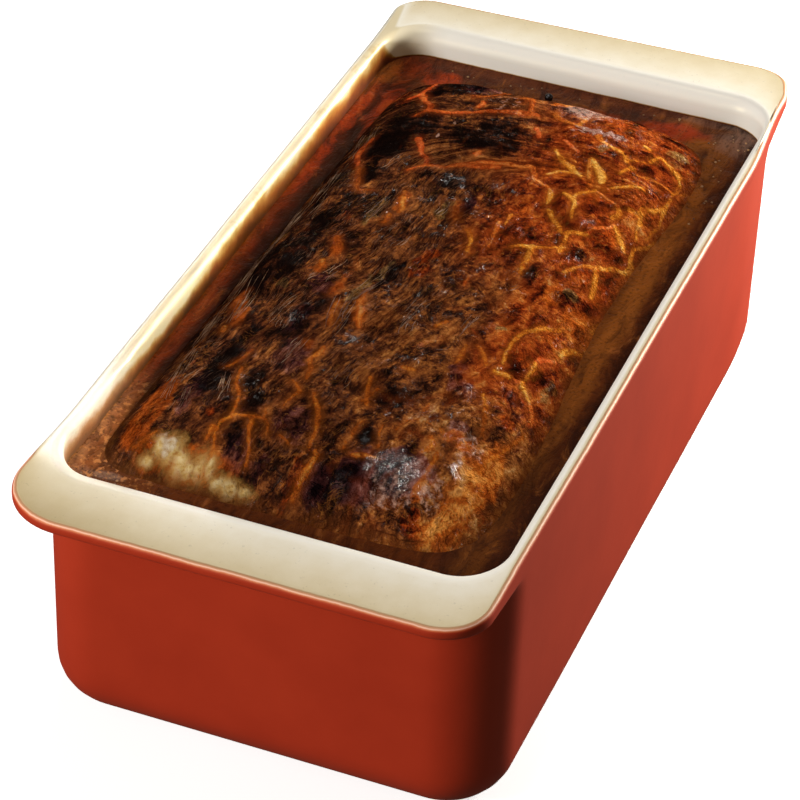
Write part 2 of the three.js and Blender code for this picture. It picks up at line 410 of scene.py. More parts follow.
loafRadii = [loaf["corners"][name] for name in ("farRight", "farLeft", "nearLeft", "nearRight")]


def sideWave(x):  # the right side bows in and out
    return loaf["waveDepth"] * np.cos(2 * math.pi * (x - loaf["waveCrest"]) / loaf["waveLength"])


def edgeShift(x, y, normalY):  # how far the edge stands out from its plain outline
    ripple = loaf["rippleDepth"] * np.sin(2 * math.pi * (x + 2 * y) / loaf["rippleLength"])
    return ripple + np.where(normalY < 0, sideWave(x), -loaf["leftTaper"] * x) * normalY ** 2


def cornerRadius(x, y):
    left = y > loafMiddle
    far = np.where(left, loafRadii[1], loafRadii[0])
    return np.where(x > 0, far, np.where(left, loafRadii[2], loafRadii[3]))


def domeRise(x, y):
    side = np.where(y > loafMiddle, -loaf["leftTaper"] * x, sideWave(x))
    fromEnd = loafHalfLength - np.abs(x)
    fromSide = loafHalfWidth + side - np.abs(y - loafMiddle)
    blend = 0.42 * cornerRadius(x, y)
    inside = -blend * np.log(np.exp(-fromEnd / blend) + np.exp(-fromSide / blend))
    part = np.clip(inside / loafHalfWidth, 0, 1)
    return inside, loaf["dome"] * (1 - (1 - part) ** loaf["domePower"])


strands = [  # caul fat: how golden (0 is red-orange), then places in plan with half widths
    (0.35, [(72.5, 35, 0.7), (75.4, 32.6, 1), (76.8, 28.4, 1.1), (78, 25, 1.2), (80.7, 20.6, 1.1),
            (83, 15, 1.2), (85, 9, 1.5), (86, 5, 2.2), (87, 1.5, 1.6)]),
    (0.3, [(75.4, 33.1, 0.9), (80, 33.1, 1.1), (82.5, 35, 1.2), (85.7, 37.4, 1.4), (89.3, 38.8, 1.8),
           (91.5, 40.6, 1.3)]),
    (0.15, [(89.3, 44, 0.8), (91.4, 40.6, 1.2), (96, 39.8, 1), (101, 39.3, 1), (106, 40.6, 0.9),
            (110, 42.7, 0.9)]),
    (0.45, [(91.4, 23.4, 1.4), (93.6, 19.1, 1.2), (97.9, 16.3, 1), (103, 15.8, 0.9)]),
    (0.4, [(88, 3.5, 1.2), (91.4, 4.1, 1.1), (95, 5.2, 1), (99, 6.5, 0.9)]),
    (0.3, [(85, 19.5, 1.2), (87, 19, 1.9), (89, 19.5, 1)]),
    (0.4, [(41.4, 25.6, 0.6), (44.3, 23.1, 1), (46.4, 20.9, 1.1), (47.9, 16.3, 1.2), (50.7, 11.3, 1.3),
           (53.2, 7, 1.3), (55.4, 1.3, 1.5), (56.4, -4.4, 1.6), (57.9, -7.3, 1.4), (54.3, -9.8, 1),
           (51.4, -10.8, 1), (50, -15.1, 0.8), (48.6, -17, 1)]),
    (0.25, [(46.4, 22, 0.9), (50, 22.7, 1), (52.9, 25.6, 1.2), (57.1, 27.7, 1.4), (59.5, 29.3, 1.5)]),
    (0.35, [(50, 9.5, 0.8), (51.4, 5, 1.2), (53.4, 1.5, 1.2)]),
    (0.35, [(56.3, 9.4, 1.2), (57.5, 9.6, 1.9), (58.8, 9.3, 1)]),
    (0.5, [(28.6, 31.3, 0.7), (27.1, 35.6, 1), (29.3, 37, 1.1), (33.6, 38.4, 1.1), (37.9, 39.9, 0.9),
           (39.3, 41.3, 0.7)]),
    (0.3, [(40, 41, 0.7), (44.3, 42.7, 1), (48.6, 44.5, 1.3), (54.3, 46, 1.5), (58.6, 46, 1.3),
           (61.5, 44.5, 0.8)]),
    (0.5, [(21.4, 2.7, 0.9), (25.7, 4.5, 1.4), (30.7, 5.6, 1)]),
    (0.6, [(12, 21.3, 1), (16.4, 21.3, 1.2)]),
    (0.6, [(18.5, 19.2, 0.8), (21, 19.3, 1.3), (24.3, 20.6, 1.6), (30, 22, 1)]),
    (0.7, [(7, -6.5, 0.7), (10.7, -5.2, 0.9), (15, -4.3, 1.1), (18.5, -2, 0.8)]),
    (0.45, [(13, -10.6, 0.5), (20, -9.8, 0.7), (26, -9, 1)]),
    (0.55, [(26, -10.8, 0.6), (32, -10.9, 0.7)]),
    (0.75, [(4.3, -23.2, 0.8), (8, -23, 1.2), (14, -22.6, 1.2), (18, -21.8, 1.4)]),
    (0.7, [(15, -16.5, 0.7), (16.8, -19, 1.1), (18, -22, 1.2), (20, -25.5, 0.5), (22, -28, 0.8)]),
    (0.7, [(20.4, -29.4, 0.6), (23.4, -29.4, 1.3), (27, -29.2, 0.7), (31.4, -28.1, 1)]),
    (0.8, [(30.4, -26.4, 0.8), (34.3, -23.7, 1.2), (37, -21.6, 1), (39.5, -19.6, 0.9)]),
    (0.65, [(31.4, -28.1, 1), (33.2, -30, 1), (35, -33, 0.8)]),
    (0.3, [(35, -33, 0.5), (38.6, -34.4, 0.6), (42, -37.3, 0.8), (44.6, -38.7, 0.9)]),
    (0.8, [(42.5, -18.1, 0.8), (45.7, -17.9, 1.3), (48.8, -17, 0.9)]),
    (0.75, [(37.9, -27.2, 0.5), (41.4, -26.2, 0.8), (45.7, -25.5, 1.1), (47.5, -23.6, 1.4),
            (48.9, -21.2, 0.9)]),
    (0.7, [(47.5, -24.4, 0.9), (50.7, -25.1, 0.8), (52.9, -27.3, 0.8), (55, -29, 0.9)]),
    (0.35, [(55, -29, 0.7), (53.9, -31.6, 0.6), (53.2, -33.7, 0.6), (52.1, -37, 0.7)]),
    (0.85, [(46.6, -37.2, 0.8), (49.5, -38, 1.2), (51.5, -37.3, 0.9)]),
    (0.55, [(12.5, -33.9, 0.9), (16.4, -35.5, 0.9), (20, -37.3, 0.9), (22.1, -40.1, 1.2),
            (25, -41.3, 1.1)]),
    (0.85, [(10.7, -42.9, 0.7), (16.4, -42.3, 1.1), (21.4, -40.9, 1)]),
    (0.6, [(25, -41.3, 0.8), (28.6, -44, 0.8), (31.4, -46.2, 1.1), (35, -47, 1.3), (38.6, -45.9, 0.9),
           (42.1, -45.9, 0.6), (44.3, -46.6, 0.6), (50, -48.3, 0.6), (53, -49.6, 0.6)]),
    (0.85, [(38.2, -43.6, 1.1), (40.6, -42, 1.4), (43.6, -39.4, 0.9), (44.6, -38.7, 0.9)]),
    (0.75, [(45.7, -44.9, 0.5), (50, -44, 0.6), (54, -43.6, 1), (56.4, -42.8, 1.2), (59.3, -43.7, 0.8),
            (62, -45.5, 0.8), (65.7, -46.9, 0.9)]),
    (0.75, [(53.7, -40, 0.8), (55.2, -42.6, 1.1)]),
    (0.6, [(50, -46.9, 0.3), (57, -48, 0.4), (61.4, -47.8, 0.6), (66, -47.2, 1), (70, -47.3, 0.6),
           (75, -47.5, 0.5), (80, -47.4, 0.7), (83.6, -46.3, 1.3)]),
    (0.8, [(83.6, -46.3, 1.5), (84.6, -42.3, 1.2), (86, -39.2, 0.8), (83.5, -38.6, 0.7), (80.7, -38, 0.6)]),
    (0.5, [(76.8, -48, 0.5), (79.6, -49.8, 0.6)]),
    (0.7, [(0, -46.9, 1), (3.6, -47.4, 1), (8, -48.6, 0.7)]),
    (0.6, [(56.4, -13.4, 0.9), (59.3, -15.9, 1), (61.4, -19.6, 1.1)]),
    (0.7, [(60, -22.6, 0.9), (62.9, -18.7, 1.5), (65.7, -14.4, 1.2), (70, -10.9, 0.8)]),
    (0.65, [(60, -28.9, 1.6), (64.3, -27.3, 2.2), (67.9, -24.4, 1.6), (70, -22.6, 0.9)]),
    (0.5, [(60, -25.1, 0.7), (64.3, -23.7, 1), (69.3, -22.3, 0.9)]),
    (0.8, [(58.6, -33, 0.8), (62.1, -35.9, 1), (66, -40.1, 0.9)]),
    (0.6, [(67.9, -32.3, 0.7), (71, -33.2, 0.9), (73, -34.3, 1.4)]),
    (0.5, [(70.7, -36.9, 0.6), (73.2, -41.6, 0.6), (74.6, -46.6, 0.5)]),
    (0.8, [(74.8, -32, 1.2), (77.1, -30.8, 1.1)]),
    (0.7, [(76, -32.6, 0.5), (78.9, -36.9, 0.5)]),
    (0.8, [(78.2, -28.9, 1.4), (78.9, -25.9, 1.2)]),
    (0.5, [(78.9, -25.9, 1), (81.4, -21.9, 1.2), (84.3, -19.8, 1.3)]),
    (0.85, [(87.4, -35, 1.2), (88.3, -33.8, 1.4)]),
    (0.5, [(90.7, -3.7, 1.8), (89.3, -5.5, 1.9), (87.5, -10.1, 0.9), (86.4, -14.4, 0.9)]),
    (0.5, [(87.9, -12.6, 1), (92.1, -13, 1.3)]),
    (0.2, [(75, -3.9, 1), (79.3, -1.6, 1.5)]),
    (0.15, [(72.1, -17.3, 0.8), (76.4, -11.6, 0.8)]),
    (0.75, [(-69.7, -39.5, 0.7), (-64.7, -38.1, 0.7), (-62, -37.4, 0.8), (-57.7, -35.9, 1.1),
            (-54.1, -33.7, 0.7)]),
    (0.95, [(-42.6, -33.4, 1.2), (-42.2, -36.6, 1.4)]),
    (0.3, [(-41.4, -38.5, 0.6), (-41.6, -41, 0.9)]),
    (0.75, [(-41, -40.6, 0.9), (-43, -42, 1.1), (-45.5, -44.2, 0.8)]),
    (0.35, [(-45.5, -44.2, 0.7), (-49, -46.4, 0.8), (-52.7, -47.6, 0.7)]),
    (0.4, [(-44.9, -44.4, 0.5), (-41.3, -45.9, 0.6), (-37.7, -46.2, 0.4)]),
    (0.8, [(-39.9, -41, 0.5), (-33.4, -41.2, 0.9), (-30.6, -40.9, 0.7)]),
    (0.2, [(-30.6, -40.9, 0.7), (-27, -41.9, 0.8), (-23.4, -44.4, 0.7)]),
    (0.7, [(-38.4, -33.5, 0.6), (-31.3, -33, 0.8), (-27, -32.6, 0.9), (-21.3, -33.7, 0.8),
           (-17.7, -35.9, 1.1), (-13.4, -38.4, 0.9), (-10.6, -40.9, 0.8)]),
    (0.85, [(-19.9, -44.4, 0.9), (-16.3, -44.9, 1.3), (-12.7, -46.2, 1), (-10.6, -48.7, 0.9)]),
    (0.55, [(-41.3, -30, 0.5), (-37.7, -28, 0.7), (-34.1, -24.8, 0.6)]),
    (0.6, [(-44, -22.3, 0.7), (-40, -22.3, 1.1), (-35.6, -21.9, 0.7)]),
    (0.8, [(-30.8, -11, 0.9), (-27.7, -13.4, 0.8)]),
    (0.75, [(-52.8, -10, 1.3), (-52.4, -12.6, 1.2)]),
    (0.45, [(-9, -11.2, 0.5), (-3.4, -10.9, 0.5)]),
    (0.5, [(-109, -1.2, 1.2), (-102.6, -1.6, 1.7), (-97, -2.6, 1.6), (-94.5, -1.5, 1.1)]),
    (0.6, [(-94, 0.6, 1), (-88.3, 1.3, 1.1), (-81.9, 3.1, 1.1), (-78.3, 4.9, 1.3), (-74, 7.7, 0.7)]),
    (0.5, [(-94.6, -11.5, 1), (-94.2, -13.8, 2.2), (-92.6, -18, 1.2)]),
    (0.65, [(-92.6, -8.8, 0.8), (-89.7, -8, 0.8)]),
    (0.6, [(-89, -8.8, 0.5), (-84, -8.5, 0.7), (-80.4, -9, 0.8)]),
    (0.6, [(-89, -16.9, 0.6), (-84, -15.5, 0.7), (-79.7, -14.8, 0.5)]),
    (0.75, [(-72.6, -7.4, 0.8), (-66.9, -5.1, 1), (-61, -3.7, 0.9)]),
    (0.6, [(-71.3, -5.6, 0.5), (-64.7, -7.3, 0.5)]),
    (0.6, [(-70.4, -22.6, 0.6), (-64.7, -22.3, 0.8)]),
    (0.45, [(-80, -18.7, 0.5), (-75, -19.4, 0.6), (-73, -22, 0.7), (-73, -26, 0.6)]),
    (0.5, [(-86, -28.2, 1), (-82.6, -30, 1.6), (-78.3, -28, 1.2)]),
    (0.45, [(-74, -29, 1.2), (-76.3, -33, 1.8), (-76.5, -37, 1.4), (-75, -41, 0.9)]),
    (0.6, [(-84, -43.7, 0.9), (-78.3, -43.7, 1.3), (-71, -45.5, 1.1), (-65.4, -46.6, 0.9),
           (-58.3, -47.6, 0.7)]),
    (0.55, [(-97, -31.5, 1.4), (-90, -32.4, 1.2), (-84, -32, 0.9)]),
    (0.7, [(-108.6, 22.7, 0.5), (-104, 24.1, 0.7), (-99, 25.6, 1), (-95.4, 25.6, 1.2), (-92.6, 24.1, 1.3),
           (-90.8, 22.7, 1.3)]),
    (0.5, [(-100.5, 27.5, 0.8), (-97, 27.3, 1.4)]),
    (0.65, [(-90.8, 24, 1), (-85.4, 24.9, 0.8), (-81, 26.8, 1), (-76.9, 29.1, 1), (-72.6, 29.9, 0.8),
            (-69.7, 30.6, 0.6)]),
    (0.6, [(-90.8, 22.7, 1.2), (-90.4, 19.1, 1.1), (-92.6, 18.1, 1.2), (-96, 17, 1), (-101, 14.9, 0.8),
           (-104.7, 14.3, 0.6)]),
    (0.55, [(-90.4, 19, 1), (-89.7, 15.5, 0.8), (-91.5, 13.6, 0.7), (-94.5, 12.4, 0.7)]),
    (0.65, [(-89.7, 15.6, 0.4), (-85.4, 16.6, 0.5)]),
    (0.6, [(-93.3, 9.1, 0.7), (-94.7, 6.3, 0.8)]),
    (0.5, [(-82.6, 12.8, 0.5), (-78.3, 12.5, 0.8), (-75.4, 11.3, 1), (-73, 13, 0.8), (-71, 14.9, 0.6)]),
    (0.75, [(-69, 12, 0.7), (-64.7, 12.7, 1.1), (-59.7, 14.5, 1.2), (-56, 13, 1.5), (-53, 13.2, 0.8)]),
    (0.45, [(-69.7, 35, 0.9), (-66.9, 32.7, 1.1), (-61.9, 31.3, 0.9)]),
    (0.6, [(-106, 46, 0.8), (-103.5, 43, 1.3), (-101.9, 41.3, 0.8)]),
    (0.5, [(-50.6, 41.3, 1.2), (-44.9, 42.7, 1.8), (-38.4, 45.6, 2), (-33.4, 47.7, 1.5),
           (-30.6, 46.6, 0.9)]),
    (0.7, [(-54.5, 43, 1.3), (-52, 43.6, 1.3)]),
    (0.6, [(-42, 16.3, 0.8), (-37, 17.4, 1.2), (-30.6, 18, 0.8)]),
    (0.55, [(-40.6, 8.1, 1), (-33.4, 10.6, 1.6), (-27.7, 12.7, 1.2), (-22, 12.8, 0.6)]),
    (0.5, [(-54.6, 17, 1.2), (-52.6, 18, 1.8)]),
    (0.5, [(-9.1, 27.7, 0.8), (-4.9, 29.1, 1.8), (0.1, 31.3, 1.2)]),
    (0.75, [(-15.5, 29.6, 1.2), (-12.8, 30.4, 1.4)]),
    (0.5, [(-27.7, 22, 0.8), (-22, 20.9, 0.8)]),
]

patches = {  # centre, half sizes, turn in degrees, amount
    "char": [
        (7, 40, 8, 3.5, -5, 1), (35, 46.5, 5, 3, -10, 0.9), (36, 36, 5, 2, 0, 0.9), (55, 38, 9, 5, 0, 0.95),
        (31, 3, 5, 1.6, 0, 0.9), (41, 12, 4, 9, 0, 0.6), (94, 36.5, 5, 2.5, 0, 0.9),
        (101, 28, 9, 6, 0, 0.6), (67, 33, 7, 8, 20, 0.8), (66, 12, 6, 9, 0, 0.85), (75, 8, 5, 7, 0, 0.8),
        (65, 3, 5, 4, 0, 0.8), (-26, 44.5, 6, 3, 0, 1), (-10, 39, 11, 3, 0, 1), (-10, 48, 10, 4, -8, 0.9),
        (-14, 10.3, 8, 1.5, -8, 0.9), (-30, 22, 8, 3, 0, 0.5), (-85, 20.8, 5, 3, 0, 0.95),
        (-74, 25, 4.5, 3, 0, 0.7), (-96, 21, 5, 1.8, 0, 0.7), (-72, 36, 13, 3.5, 0, 0.8),
        (-45, 25, 12, 3, 0, 0.5), (-104, -6, 5, 4.5, 0, 0.55), (-100, -14, 6, 4, 0, 0.45),
        (-85, -12, 5, 2.5, 0, 0.85), (-68, -13, 7, 3, 0, 0.5), (-97, -23, 7, 7, 0, 0.42),
        (-38, -43.3, 5, 1.5, 0, 0.8), (-17, -47, 4, 1.3, 0, 0.8), (-49, -41, 3.5, 3, 0, 0.5),
        (5, -26, 6, 1.8, 0, 0.5), (22, -15, 8, 5, 0, 0.4), (33, -42, 2, 2, 0, 0.5),
    ],
    "glow": [
        (-92, 48, 16, 5, 0, 0.8), (-108, 41, 4, 5, 0, 0.6), (-103, -42, 11, 4.5, -15, 0.9),
        (-84, -45, 16, 4, 0, 0.7), (-4, -44, 7, 5, 0, 0.8), (-98, -33, 4, 2, 0, 0.9),
        (24, 21, 6, 2, 0, 0.6), (-41, 43.6, 9, 2.2, 22, 0.7), (-16, 30, 3.4, 2.2, 0, 0.5),
        (-5, 29.6, 6, 2.2, 12, 0.6), (-107, 30, 5, 14, 0, 0.7), (-18, 21.2, 12, 1.8, 0, 0.4),
        (-33, 10.6, 8, 2.2, 16, 0.5), (14, 21.4, 3, 1.4, 0, 0.5), (60, -27, 9, 3.4, 20, 0.7),
        (-104, -43, 6, 3, 10, 0.7), (-76, -35, 3, 5, -30, 0.8), (-90, -40, 14, 2, 0, 0.4),
        (2, -34.6, 8, 2.4, 0, 0.7), (62, -16, 6, 4, 0, 0.6), (105, -2, 8, 2.5, 0, 0.9),
        (86, 4.4, 3, 2.6, 0, 0.4), (96, 8, 6, 3, 0, 0.4),
    ],
    "red": [
        (-5, 3.5, 6, 3, 0, 0.8), (2, 3, 3, 3, 0, 0.6), (50, -31, 6, 5, 0, 0.7), (16, -38, 5, 2.5, 0, 0.8),
        (20, -45, 11, 2.5, 0, 0.9), (62, -46.5, 3, 1.5, 0, 0.7), (38, -37, 5, 4, 0, 0.8),
        (-35, -36.5, 4.5, 2.5, 0, 0.8), (-16, -41.5, 4, 2, 0, 0.9), (-60, -43, 3, 2.5, 0, 0.7),
        (-107, -34, 3.5, 3, 0, 0.8), (-91.5, 30.2, 2.2, 2, 0, 0.8), (-104, 1, 8, 2, 0, 0.6),
        (13, 34, 6, 1.6, 25, 0.5), (75, -41, 6, 4, 0, 0.4), (94, -24, 5, 5, 0, 0.5),
        (36, -13, 7, 3, 0, 0.5), (90, 46, 9, 3, 20, 0.5), (-12, -29, 9, 2, 0, 0.4),
    ],
    "olive": [
        (8, 53, 4, 4, 30, 0.8), (18, 26.5, 9, 2, -5, 0.7), (26, 8, 5, 1.5, -8, 0.8),
        (-22, 15, 8, 1.5, -3, 0.9), (-10, 12, 6, 1.2, -12, 0.9), (-10, 54, 10, 3, 15, 0.8),
        (-26.3, 36.3, 1.8, 2, 0, 1), (-23, -27.6, 1.3, 2, 0, 0.9), (5, -38.5, 3, 2, 0, 0.8),
        (76.8, -24, 2, 2, 0, 0.8), (59.5, 30, 2.5, 1.5, 0, 0.7), (63, 47, 5, 3, 0, 0.5),
        (34, 43, 4, 2, -30, 0.6), (-37, -47, 6, 1.6, 0, 0.5), (26, -36, 4, 3, 0, 0.4),
        (91, -43, 5, 4, 0, 0.4),
    ],
    "plum": [
        (-104, -5.4, 5, 4, 0, 1), (-99, -16, 8, 6, 0, 0.9), (-94, -26, 8, 8, 0, 1),
        (-102, 18, 6, 4, 0, 0.6), (-104, 11, 4, 3, 0, 0.6), (30, 2.6, 4, 2, 0, 0.6),
        (-42, 25.6, 8, 3, 0, 0.6), (-24, 26, 5, 3, 0, 0.6), (-49, -24, 6, 2.4, 0, 0.5),
        (102, 24, 8, 6, 0, 0.6), (-72, -33, 4, 2.6, 0, 0.5), (-85, 39, 12, 3, 0, 0.6),
        (-54, -27, 3, 4, 0, 0.5), (-60, 20, 10, 5, 0, 0.5), (-88, 8, 8, 5, 0, 0.5),
    ],
    "pale": [(-105, 36, 2.6, 3, 0, 0.75), (-103, 39, 2, 2, 0, 0.4)],
    # The film patches: a greasy film, with painted highlights and reflections on the wet crust; they also
    # add coat.
    "filmAndHighlights": [
        (-101, -26, 5, 6, -30, 0.5), (-97, -36, 5, 3, 20, 0.45), (-77, -38, 4, 4, 0, 0.5),
        (86.3, -20, 1.6, 8, 3, 1), (83, -13.5, 0.8, 3, 10, 0.7), (100, -12, 7, 8, 0, 0.8),
        (-98, -34, 2.5, 2, 0, 0.8), (43, 12.7, 0.8, 0.8, 0, 0.9), (63, 24, 1, 0.7, 0, 0.9),
        (72, 23, 1, 0.7, 0, 0.9), (92, 12, 6, 5, 0, 0.3), (-85, -38.4, 4, 1, 0, 0.8),
        (-73.5, -37.5, 2, 2.4, 0, 0.5),
    ],
    "sheen": [
        (-95, -24, 7, 8, -30, 1), (-103, -13, 4, 3, 0, 0.4), (-103, -22.8, 5, 2, -35, 1),
        (-86, -38.5, 3, 1, 0, 0.9), (-92, -33.5, 3, 1.5, 0, 0.6), (-107, -19, 1, 2.5, 0, 0.6),
        (-55, -31, 2, 3, -45, 0.5), (43.4, 12.8, 1.6, 2, 0, 0.9), (96, -10, 8, 7, 0, 0.4),
        (86, -20, 2, 8, 0, 0.5), (-50, 8, 7, 2, -20, 0.3),
    ],
}
bulges = [  # centre, half sizes, turn, height
    (-14, 43, 19, 7, -8, 2.2), (34, 40, 14, 7, -10, 1.8), (68, 33, 10, 9, 0, 1.5), (62, 6, 11, 13, 10, 1.6),
    (-38, 10, 20, 8, 5, 1.2), (5, 14, 16, 7, -6, 1.2), (-75, 20, 14, 12, 0, 1.2), (-98, -15, 9, 12, 0, 1.8),
    (-97, 22, 9, 9, 0, 1.4), (-104, 38, 8, 9, 0, 1.2), (40, -30, 9, 8, 0, 1.4), (18, -40, 9, 7, 0, 1.2),
    (60, -38, 10, 8, 0, 1.2), (75, -22, 9, 9, 0, 1.2), (-30, -38, 12, 8, 0, 1.3), (-60, -38, 10, 8, 0, 1.0),
    (-86, -38, 10, 8, 0, 1.2), (92, 12, 8, 12, 0, 1.2), (-60, 44, 14, 7, -10, 1.4),
]
fatCells = [  # lobes of white fat: centre, half sizes
    (-105.4, 35.4, 2.9, 2.1), (-105.2, 38.6, 2.2, 1.5), (-107.6, 32, 2.4, 2.2), (-108.4, 29.2, 1.8, 1.3),
    (-107.4, 26.4, 2.7, 1.9), (-106.8, 23.4, 2.1, 1.4), (-109, 41, 1.1, 1.4), (-110, 20.2, 1.4, 1.9),
    (-110.7, 16.4, 1.4, 2.4), (-110.4, 12, 1.1, 1.8),
]


def turned(x, y, centreX, centreY, turn):  # places as seen along a turned patch
    angle = math.radians(turn)
    alongX = (x - centreX) * math.cos(angle) + (y - centreY) * math.sin(angle)
    alongY = (y - centreY) * math.cos(angle) - (x - centreX) * math.sin(angle)
    return alongX, alongY


def patchField(x, y, rows, edge=0.35):
    total = np.zeros_like(x)
    for centreX, centreY, halfX, halfY, turn, amount in rows:
        alongX, alongY = turned(x, y, centreX, centreY, turn)
        away = np.hypot(alongX / halfX, alongY / halfY)
        total = np.maximum(total, amount * (1 - smooth(1 - edge, 1 + edge, away)))
    return total


def smoothCurve(points, step=0.4):  # Catmull-Rom through the points, evenly stepped
    knots = np.array([points[0], *points, points[-1]], float)
    made = []
    for index in range(len(points) - 1):
        a, b, c, d = knots[index:index + 4]
        count = max(2, int(np.hypot(*(c - b)[:2]) / step))
        for part in np.arange(count) / count:
            made.append(0.5 * (2 * b + (c - a) * part + (2 * a - 5 * b + 4 * c - d) * part ** 2
                               + (3 * b - a - 3 * c + d) * part ** 3))
    made.append(knots[-1])
    return np.array(made)


def strandField(x, y):  # how far outside the nearest strand each place is, and how golden that strand is
    away, goldness = np.full_like(x, 4.0), np.full_like(x, 0.5)
    thinner = loaf["strandWidth"] - loaf["nearStrandWidth"]
    for gold, points in strands:
        line = smoothCurve(points)
        low, high = line.min(0) - 5, line.max(0) + 5
        close = np.flatnonzero((x > low[0]) & (x < high[0]) & (y > low[1]) & (y < high[1]))
        apart = np.hypot(x[close, None] - line[None, :, 0], y[close, None] - line[None, :, 1])
        width = (loaf["strandWidth"] - thinner * smooth(-50, -70, x[close])) * line[apart.argmin(1), 2]
        outside = apart.min(1) - width
        better = outside < away[close]
        goldness[close[better]] = gold
        away[close[better]] = outside[better]
    return away, goldness


def makeLoaf():  # a flat sheet with a skirt, and the plan place of each of its points
    bm = bmesh.new()
    bmesh.ops.create_grid(bm, x_segments=loaf["columns"], y_segments=loaf["rows"], size=1)
    edges = [edge for edge in bm.edges if edge.is_boundary]
    for level in range(1, 6):  # skirt, told apart by its height
        made = bmesh.ops.extrude_edge_only(bm, edges=edges)["geom"]
        edges = [item for item in made if isinstance(item, bmesh.types.BMEdge)]
        for item in made:
            if isinstance(item, bmesh.types.BMVert):
                item.co.z = -level
    filled = bmesh.ops.holes_fill(bm, edges=edges, sides=0)
    bmesh.ops.triangulate(bm, faces=filled["faces"])
    piece = finishMesh("baked_loaf", bm)
    unitX, unitY, unitZ = meshPoints(piece).T * mm
    x, y = unitX * loafHalfLength, unitY * loafHalfWidth
    radius = cornerRadius(x, y + loafMiddle)
    overX = np.abs(x) - (loafHalfLength - radius)
    overY = np.abs(y) - (loafHalfWidth - radius)
    corner = (overX > 0) & (overY > 0)
    reach = np.maximum(np.hypot(overX, overY), 1e-9)
    pull = np.where(corner, np.maximum(overX, overY) / reach, 1)
    x = np.where(corner, np.sign(x) * (loafHalfLength - radius + overX * pull), x)
    y = np.where(corner, np.sign(y) * (loafHalfWidth - radius + overY * pull), y)
    onSide = np.where(np.abs(unitY) > np.abs(unitX), np.sign(unitY), 0)
    normalY = np.where(corner, np.sign(y) * overY / reach, onSide)
    normalX = np.sign(x) * np.sqrt(np.maximum(0, 1 - normalY ** 2))
    shift = edgeShift(x, y + loafMiddle, np.sign(unitY)) * np.abs(unitY) ** 4
    y = y + loafMiddle + np.sign(unitY) * shift
    return piece, np.rint(-unitZ).astype(int), x, y, normalX, normalY


def flowField(x, y):  # coordinates along and across the meat's fibres
    bend = 5 * grain(x / 42, y / 30, 21) + 1.6 * grain(x / 13, y / 9, 23)
    across = y + 0.16 * x + bend
    along = x + 3 * grain(x / 30, y / 30, 25)
    crossed = smooth(48, 78, x + 6 * grain(x / 20, y / 20, 27))  # at the far end they run crosswise
    return along + crossed * (y - along), across + crossed * (x + 0.25 * y + bend - across)


def loafFields(x, y):  # what the crust is like at each place
    warpX = 0.9 * grain(x / 5, y / 5, 3) + 0.5 * grain(x / 2, y / 2, 5)
    warpY = 0.9 * grain(x / 5, y / 5, 7) + 0.5 * grain(x / 2, y / 2, 11)
    warpedX, warpedY = x + warpX, y + warpY
    right = smooth(2, -22, y)  # the side where the caul net shows
    near = smooth(-60, -85, x)
    left = smooth(16, 40, y)

    along, across = flowField(x, y)
    along, across = along + 2.0 * warpX, across + 0.7 * warpY
    fibrous = (0.15 + 0.85 * smooth(-16, 6, y)) * (1 - 0.75 * smooth(50, 72, x)) * (1 - 0.5 * near)
    fibrous = fibrous * (0.35 + 0.65 * smooth(-0.25, 0.25, grain(x / 13, y / 8, 29)))
    fibre = layered(along / 9, across / 1.25, 31, 3, 0.6) * fibrous
    coarse = layered(along / 20, across / 4, 41, 3)

    away, gold = strandField(x + 0.6 * warpX, y + 0.6 * warpY)
    netX = warpedX + 3 * grain(x / 11, y / 11, 51)
    netY = warpedY + 3 * grain(x / 11, y / 11, 53)
    netFirst, netSecond = cells(netX / 10, netY / 8, 57)
    presence = smooth(-0.25, 0.25, grain(x / 7, y / 7, 61) + 0.2 * right - 0.15 * left)
    presence = presence * (0.35 + 0.6 * right)
    netAway = (netSecond - netFirst) * 4.5 + 0.1 + 2.0 * (1 - np.clip(presence, 0, 1))
    nearGold, netGold = gold + 0.25 * smooth(-55, -75, x), 0.4 + 0.4 * grain(x / 6, y / 6, 67)
    gold = np.where(away < netAway, nearGold, netGold)
    away = np.minimum(away, netAway)

    hollow = smooth(0.4, 4, away)
    tone = 0.295 + 0.24 * layered(along / 10, across / 3.4, 71, 4, 0.62) + 0.12 * fibre
    tone = tone + right * (0.1 - 0.05 * smooth(-10, 15, x)) - 0.125 * left * (1 - 0.6 * smooth(-60, -90, x))
    tone = tone + 0.05 - 0.13 * hollow * (0.4 + 0.6 * right) - 0.07 * near * (1 - smooth(-20, -30, y))
    tone = tone + 0.1 * smooth(-60, -80, x) * smooth(-24, -36, y)
    nearWarm = 0.9 * smooth(-66, -46, x) * smooth(-20, -30, y)
    lobes = np.full_like(x, 3.0)
    for centreX, centreY, halfX, halfY in fatCells:
        lobes = np.minimum(lobes, np.hypot((warpedX - centreX) / halfX, (warpedY - centreY) / halfY))
    kept = {
        "away": np.clip(away, -2, 5), "gold": gold, "tone": tone,
        "warm": np.maximum(smooth(-15, 25, x) * smooth(8, -14, y), nearWarm), "fibrous": fibrous,
        "pits": smooth(0.2, 0.48, layered(warpedX / 3.2, warpedY / 2.2, 81, 3)),
        "lobes": lobes, "along": along, "across": across,
    }
    return kept, {"fibre": fibre, "coarse": coarse, "right": right}, (warpedX, warpedY)


